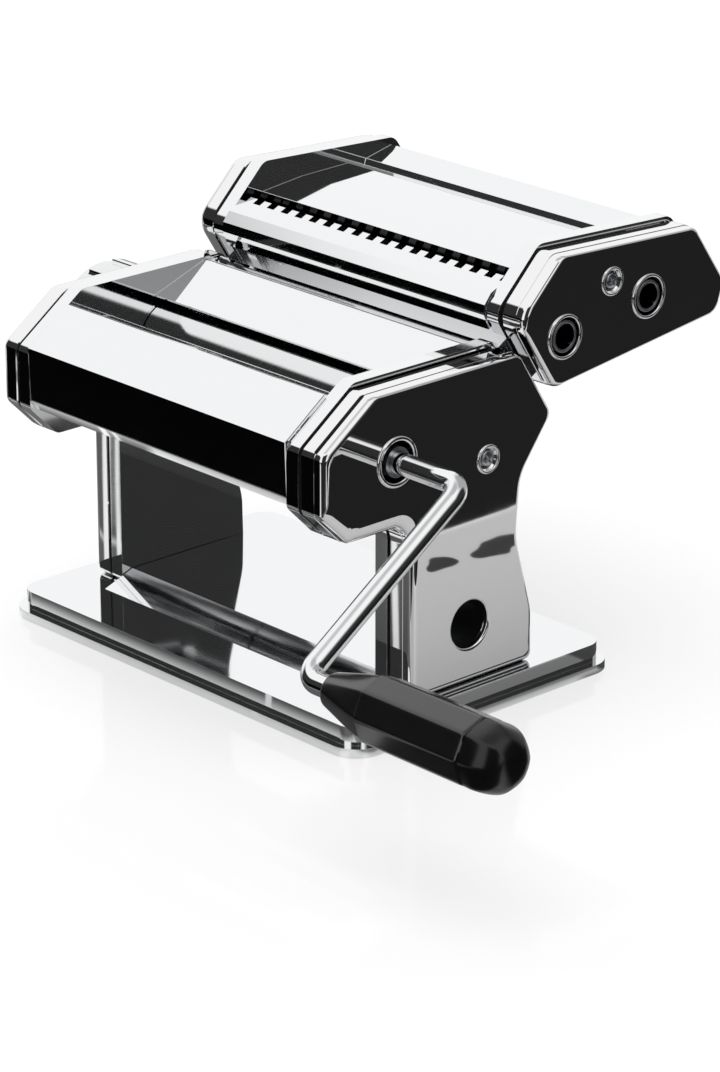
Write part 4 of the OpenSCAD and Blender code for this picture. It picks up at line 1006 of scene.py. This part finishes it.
def floor_patches(tree, place):
    """How dark the floor is in mirrors, from 0 to 1. Distances are in metres."""
    split = add(tree, "ShaderNodeSeparateXYZ", {0: place})
    x, y = split.outputs["X"], split.outputs["Y"]
    wander = add(tree, "ShaderNodeTexNoise", {"Vector": place, "Scale": 45.0, "Detail": 1.0})
    drift = both(tree, math_node(tree, "SUBTRACT", wander.outputs["Fac"], 0.5), 0.02)
    drifted_x = math_node(tree, "ADD", x, drift)

    def patch(x_band, y_band):
        return both(tree, band(tree, x, *x_band), band(tree, y, *y_band))

    def spot(centre_x, centre_y, radius_x, radius_y):
        dx = math_node(tree, "DIVIDE", math_node(tree, "SUBTRACT", drifted_x, centre_x), radius_x)
        dy = math_node(tree, "DIVIDE", math_node(tree, "SUBTRACT", y, centre_y), radius_y)
        far = math_node(tree, "ADD", both(tree, dx, dx), both(tree, dy, dy))
        return inverse(tree, ramp(tree, far, 0.9, 1.1))

    def along(slope):
        """A measure across lines that run over the floor at a slope to Y."""
        return math_node(tree, "SUBTRACT", x, both(tree, y, slope))

    # pale gaps, which draw the bright streaks down the fronts of the legs
    left, right = along(1.232), along(1.0836)
    gaps = inverse(tree, either(tree, band(tree, left, -0.0458, -0.0413, STREAK_SOFT),
                                band(tree, left, -0.0373, -0.0343, STREAK_SOFT),
                                band(tree, right, 0.1215, 0.1250, STREAK_SOFT)))
    return either(
        tree,
        # almost black: in front, on the right and at the front right corner
        both(tree, ramp(tree, minus(tree, y), 0.205, 0.212),
             inverse(tree, ramp(tree, x, 0.02, 0.10))),
        both(tree, ramp(tree, x, 0.2405, 0.2425), ramp(tree, y, -0.12, -0.08), 0.988),
        both(tree, ramp(tree, x, 0.125, 0.135), ramp(tree, minus(tree, y), 0.125, 0.135), 0.985),
        # two dark spots, seen in the right leg
        both(tree, either(tree, spot(0.214, 0.095, 0.0060, 0.0095),
                          spot(0.2135, 0.129, 0.0066, 0.0185)), 0.955),
        # close to the machine: in front, on its left, behind it and twice on its right
        both(tree, patch((-0.40, 0.12, 0.01), (-0.205, -0.078, 0.006)), gaps, 0.90),
        both(tree, patch((-0.34, -0.105, 0.006), (-0.078, 0.10, 0.006)), gaps, 0.88),
        both(tree, either(tree, patch((-0.10, 0.106, 0.006), (0.05, 0.17, 0.006)),
                          patch((0.09, 0.128, 0.003), (0.062, 0.12, 0.004))), 0.93),
        both(tree, band(tree, x, 0.106, 0.2405, 0.003), 0.43),
        both(tree, band(tree, x, 0.107, 0.119, 0.002), 0.75),
        # grey, further back and further left
        both(tree, ramp(tree, y, 0.18, 0.42), inverse(tree, ramp(tree, x, 0.02, 0.08)), 0.62),
        both(tree, ramp(tree, minus(tree, x), 0.16, 0.42), ramp(tree, y, -0.20, -0.08), 0.66))


def floor():
    bm = bmesh.new()
    bmesh.ops.create_grid(bm, x_segments=1, y_segments=1, size=FLOOR_SIZE)
    mesh = bpy.data.meshes.new("floor")
    bm.to_mesh(mesh)
    bm.free()
    ground = bpy.data.objects.new("floor", mesh)
    bpy.context.scene.collection.objects.link(ground)
    material, tree, shader, place = new_material("pale_floor")
    path = add(tree, "ShaderNodeLightPath")
    mirrored_dark = both(tree, floor_patches(tree, place), path.outputs["Is Glossy Ray"])
    tone = mixed_colour(tree, mirrored_dark, linear(FLOOR_WHITE), linear(FLOOR_DARK))
    tree.links.new(tone, shader.inputs["Base Color"])
    # it shines only round the machine
    reach = add(tree, "ShaderNodeVectorMath", {0: place}, operation="LENGTH").outputs["Value"]
    shine = both(tree, inverse(tree, mirrored_dark), FLOOR_SHINE,
                 inverse(tree, ramp(tree, reach, *SHINE_FADE)))
    tree.links.new(shine, shader.inputs["Specular IOR Level"])
    shader.inputs["Roughness"].default_value = FLOOR_ROUGH
    shader.inputs["IOR"].default_value = FLOOR_IOR
    # the camera sees it lifted towards white, with its shadows kept
    glow = add(tree, "ShaderNodeEmission", {"Strength": 1.0})
    lift = both(tree, path.outputs["Is Camera Ray"], CAMERA_LIFT)
    mixed = add(tree, "ShaderNodeMixShader",
                {0: lift, 1: shader.outputs["BSDF"], 2: glow.outputs[0]})
    tree.links.new(mixed.outputs[0], tree.nodes["Material Output"].inputs["Surface"])
    mesh.materials.append(material)


def world():
    """White all round, with dark and grey fields for mirror rays alone."""
    sky = bpy.data.worlds.new("white_studio")
    bpy.context.scene.world = sky
    sky.use_nodes = True
    tree = sky.node_tree
    direction = add(tree, "ShaderNodeTexCoord").outputs["Generated"]
    split = add(tree, "ShaderNodeSeparateXYZ", {0: direction})
    x, y, z = split.outputs["X"], split.outputs["Y"], split.outputs["Z"]
    flat = add(tree, "ShaderNodeCombineXYZ", {0: x, 1: y, 2: 0.0})
    level = add(tree, "ShaderNodeVectorMath", {0: flat.outputs[0]},
                operation="NORMALIZE").outputs["Vector"]

    def toward(way, aim, low, high):
        """A mask over the cosine between a way and the way to aim at."""
        cosine = add(tree, "ShaderNodeVectorMath", {0: way, 1: aim}, operation="DOT_PRODUCT")
        return ramp(tree, cosine.outputs["Value"], low, high)

    def below(low, high):
        return inverse(tree, ramp(tree, z, low, high))

    middle = inverse(tree, ramp(tree, math_node(tree, "ABSOLUTE", x), 0.30, 0.55))
    fields = either(
        tree,
        # dark at the back right, and as wide bands at the front left and front right
        toward(direction, Vector((0.75, 0.62, 0.12)).normalized(), 0.66, 0.90),
        both(tree, toward(level, (-0.735, -0.678, 0.0), 0.78, 0.88), below(0.50, 0.58)),
        both(tree, toward(level, (0.735, -0.678, 0.0), 0.86, 0.93), below(0.70, 0.78)),
        # grey straight behind and straight above, for the sheets that face there
        both(tree, ramp(tree, y, 0.1, 0.5), 0.6, middle),
        both(tree, ramp(tree, z, 0.88, 0.99), 0.5))
    path = add(tree, "ShaderNodeLightPath")
    dark = both(tree, fields, path.outputs["Is Glossy Ray"], SKY_DEPTH)
    back = add(tree, "ShaderNodeBackground",
               {"Color": linear("#ffffff"), "Strength": inverse(tree, dark)})
    tree.links.new(back.outputs[0], tree.nodes["World Output"].inputs["Surface"])


def key_light():
    """One large soft lamp, which mirrors don't show."""
    data = bpy.data.lights.new("key_light", "AREA")
    data.shape = "DISK"
    data.size = KEY_SIZE
    data.energy = KEY_POWER
    lamp = bpy.data.objects.new("key_light", data)
    lamp.location = KEY_PLACE
    aim = Vector(KEY_TARGET) - Vector(KEY_PLACE)
    lamp.rotation_euler = aim.to_track_quat("-Z", "Y").to_euler()
    lamp.visible_glossy = False
    bpy.context.scene.collection.objects.link(lamp)


def camera():
    right = Vector((math.cos(AZIMUTH), math.sin(AZIMUTH), 0))
    back = Vector((math.sin(AZIMUTH) * math.cos(HEIGHT), -math.cos(AZIMUTH) * math.cos(HEIGHT),
                   math.sin(HEIGHT)))
    up = back.cross(right)
    data = bpy.data.cameras.new("camera")
    data.lens = FOCAL
    data.sensor_width = SENSOR
    view = bpy.data.objects.new("camera", data)
    turn = Matrix((right, up, back)).transposed().to_4x4()
    to_right, to_up, to_back = CAMERA_PLACE
    spot = (right * to_right + up * to_up + back * to_back) * MM
    view.matrix_world = Matrix.Translation(spot) @ turn
    bpy.context.scene.collection.objects.link(view)
    bpy.context.scene.camera = view


floor()
world()
key_light()
camera()
bpy.context.scene.view_settings.view_transform = "Standard"
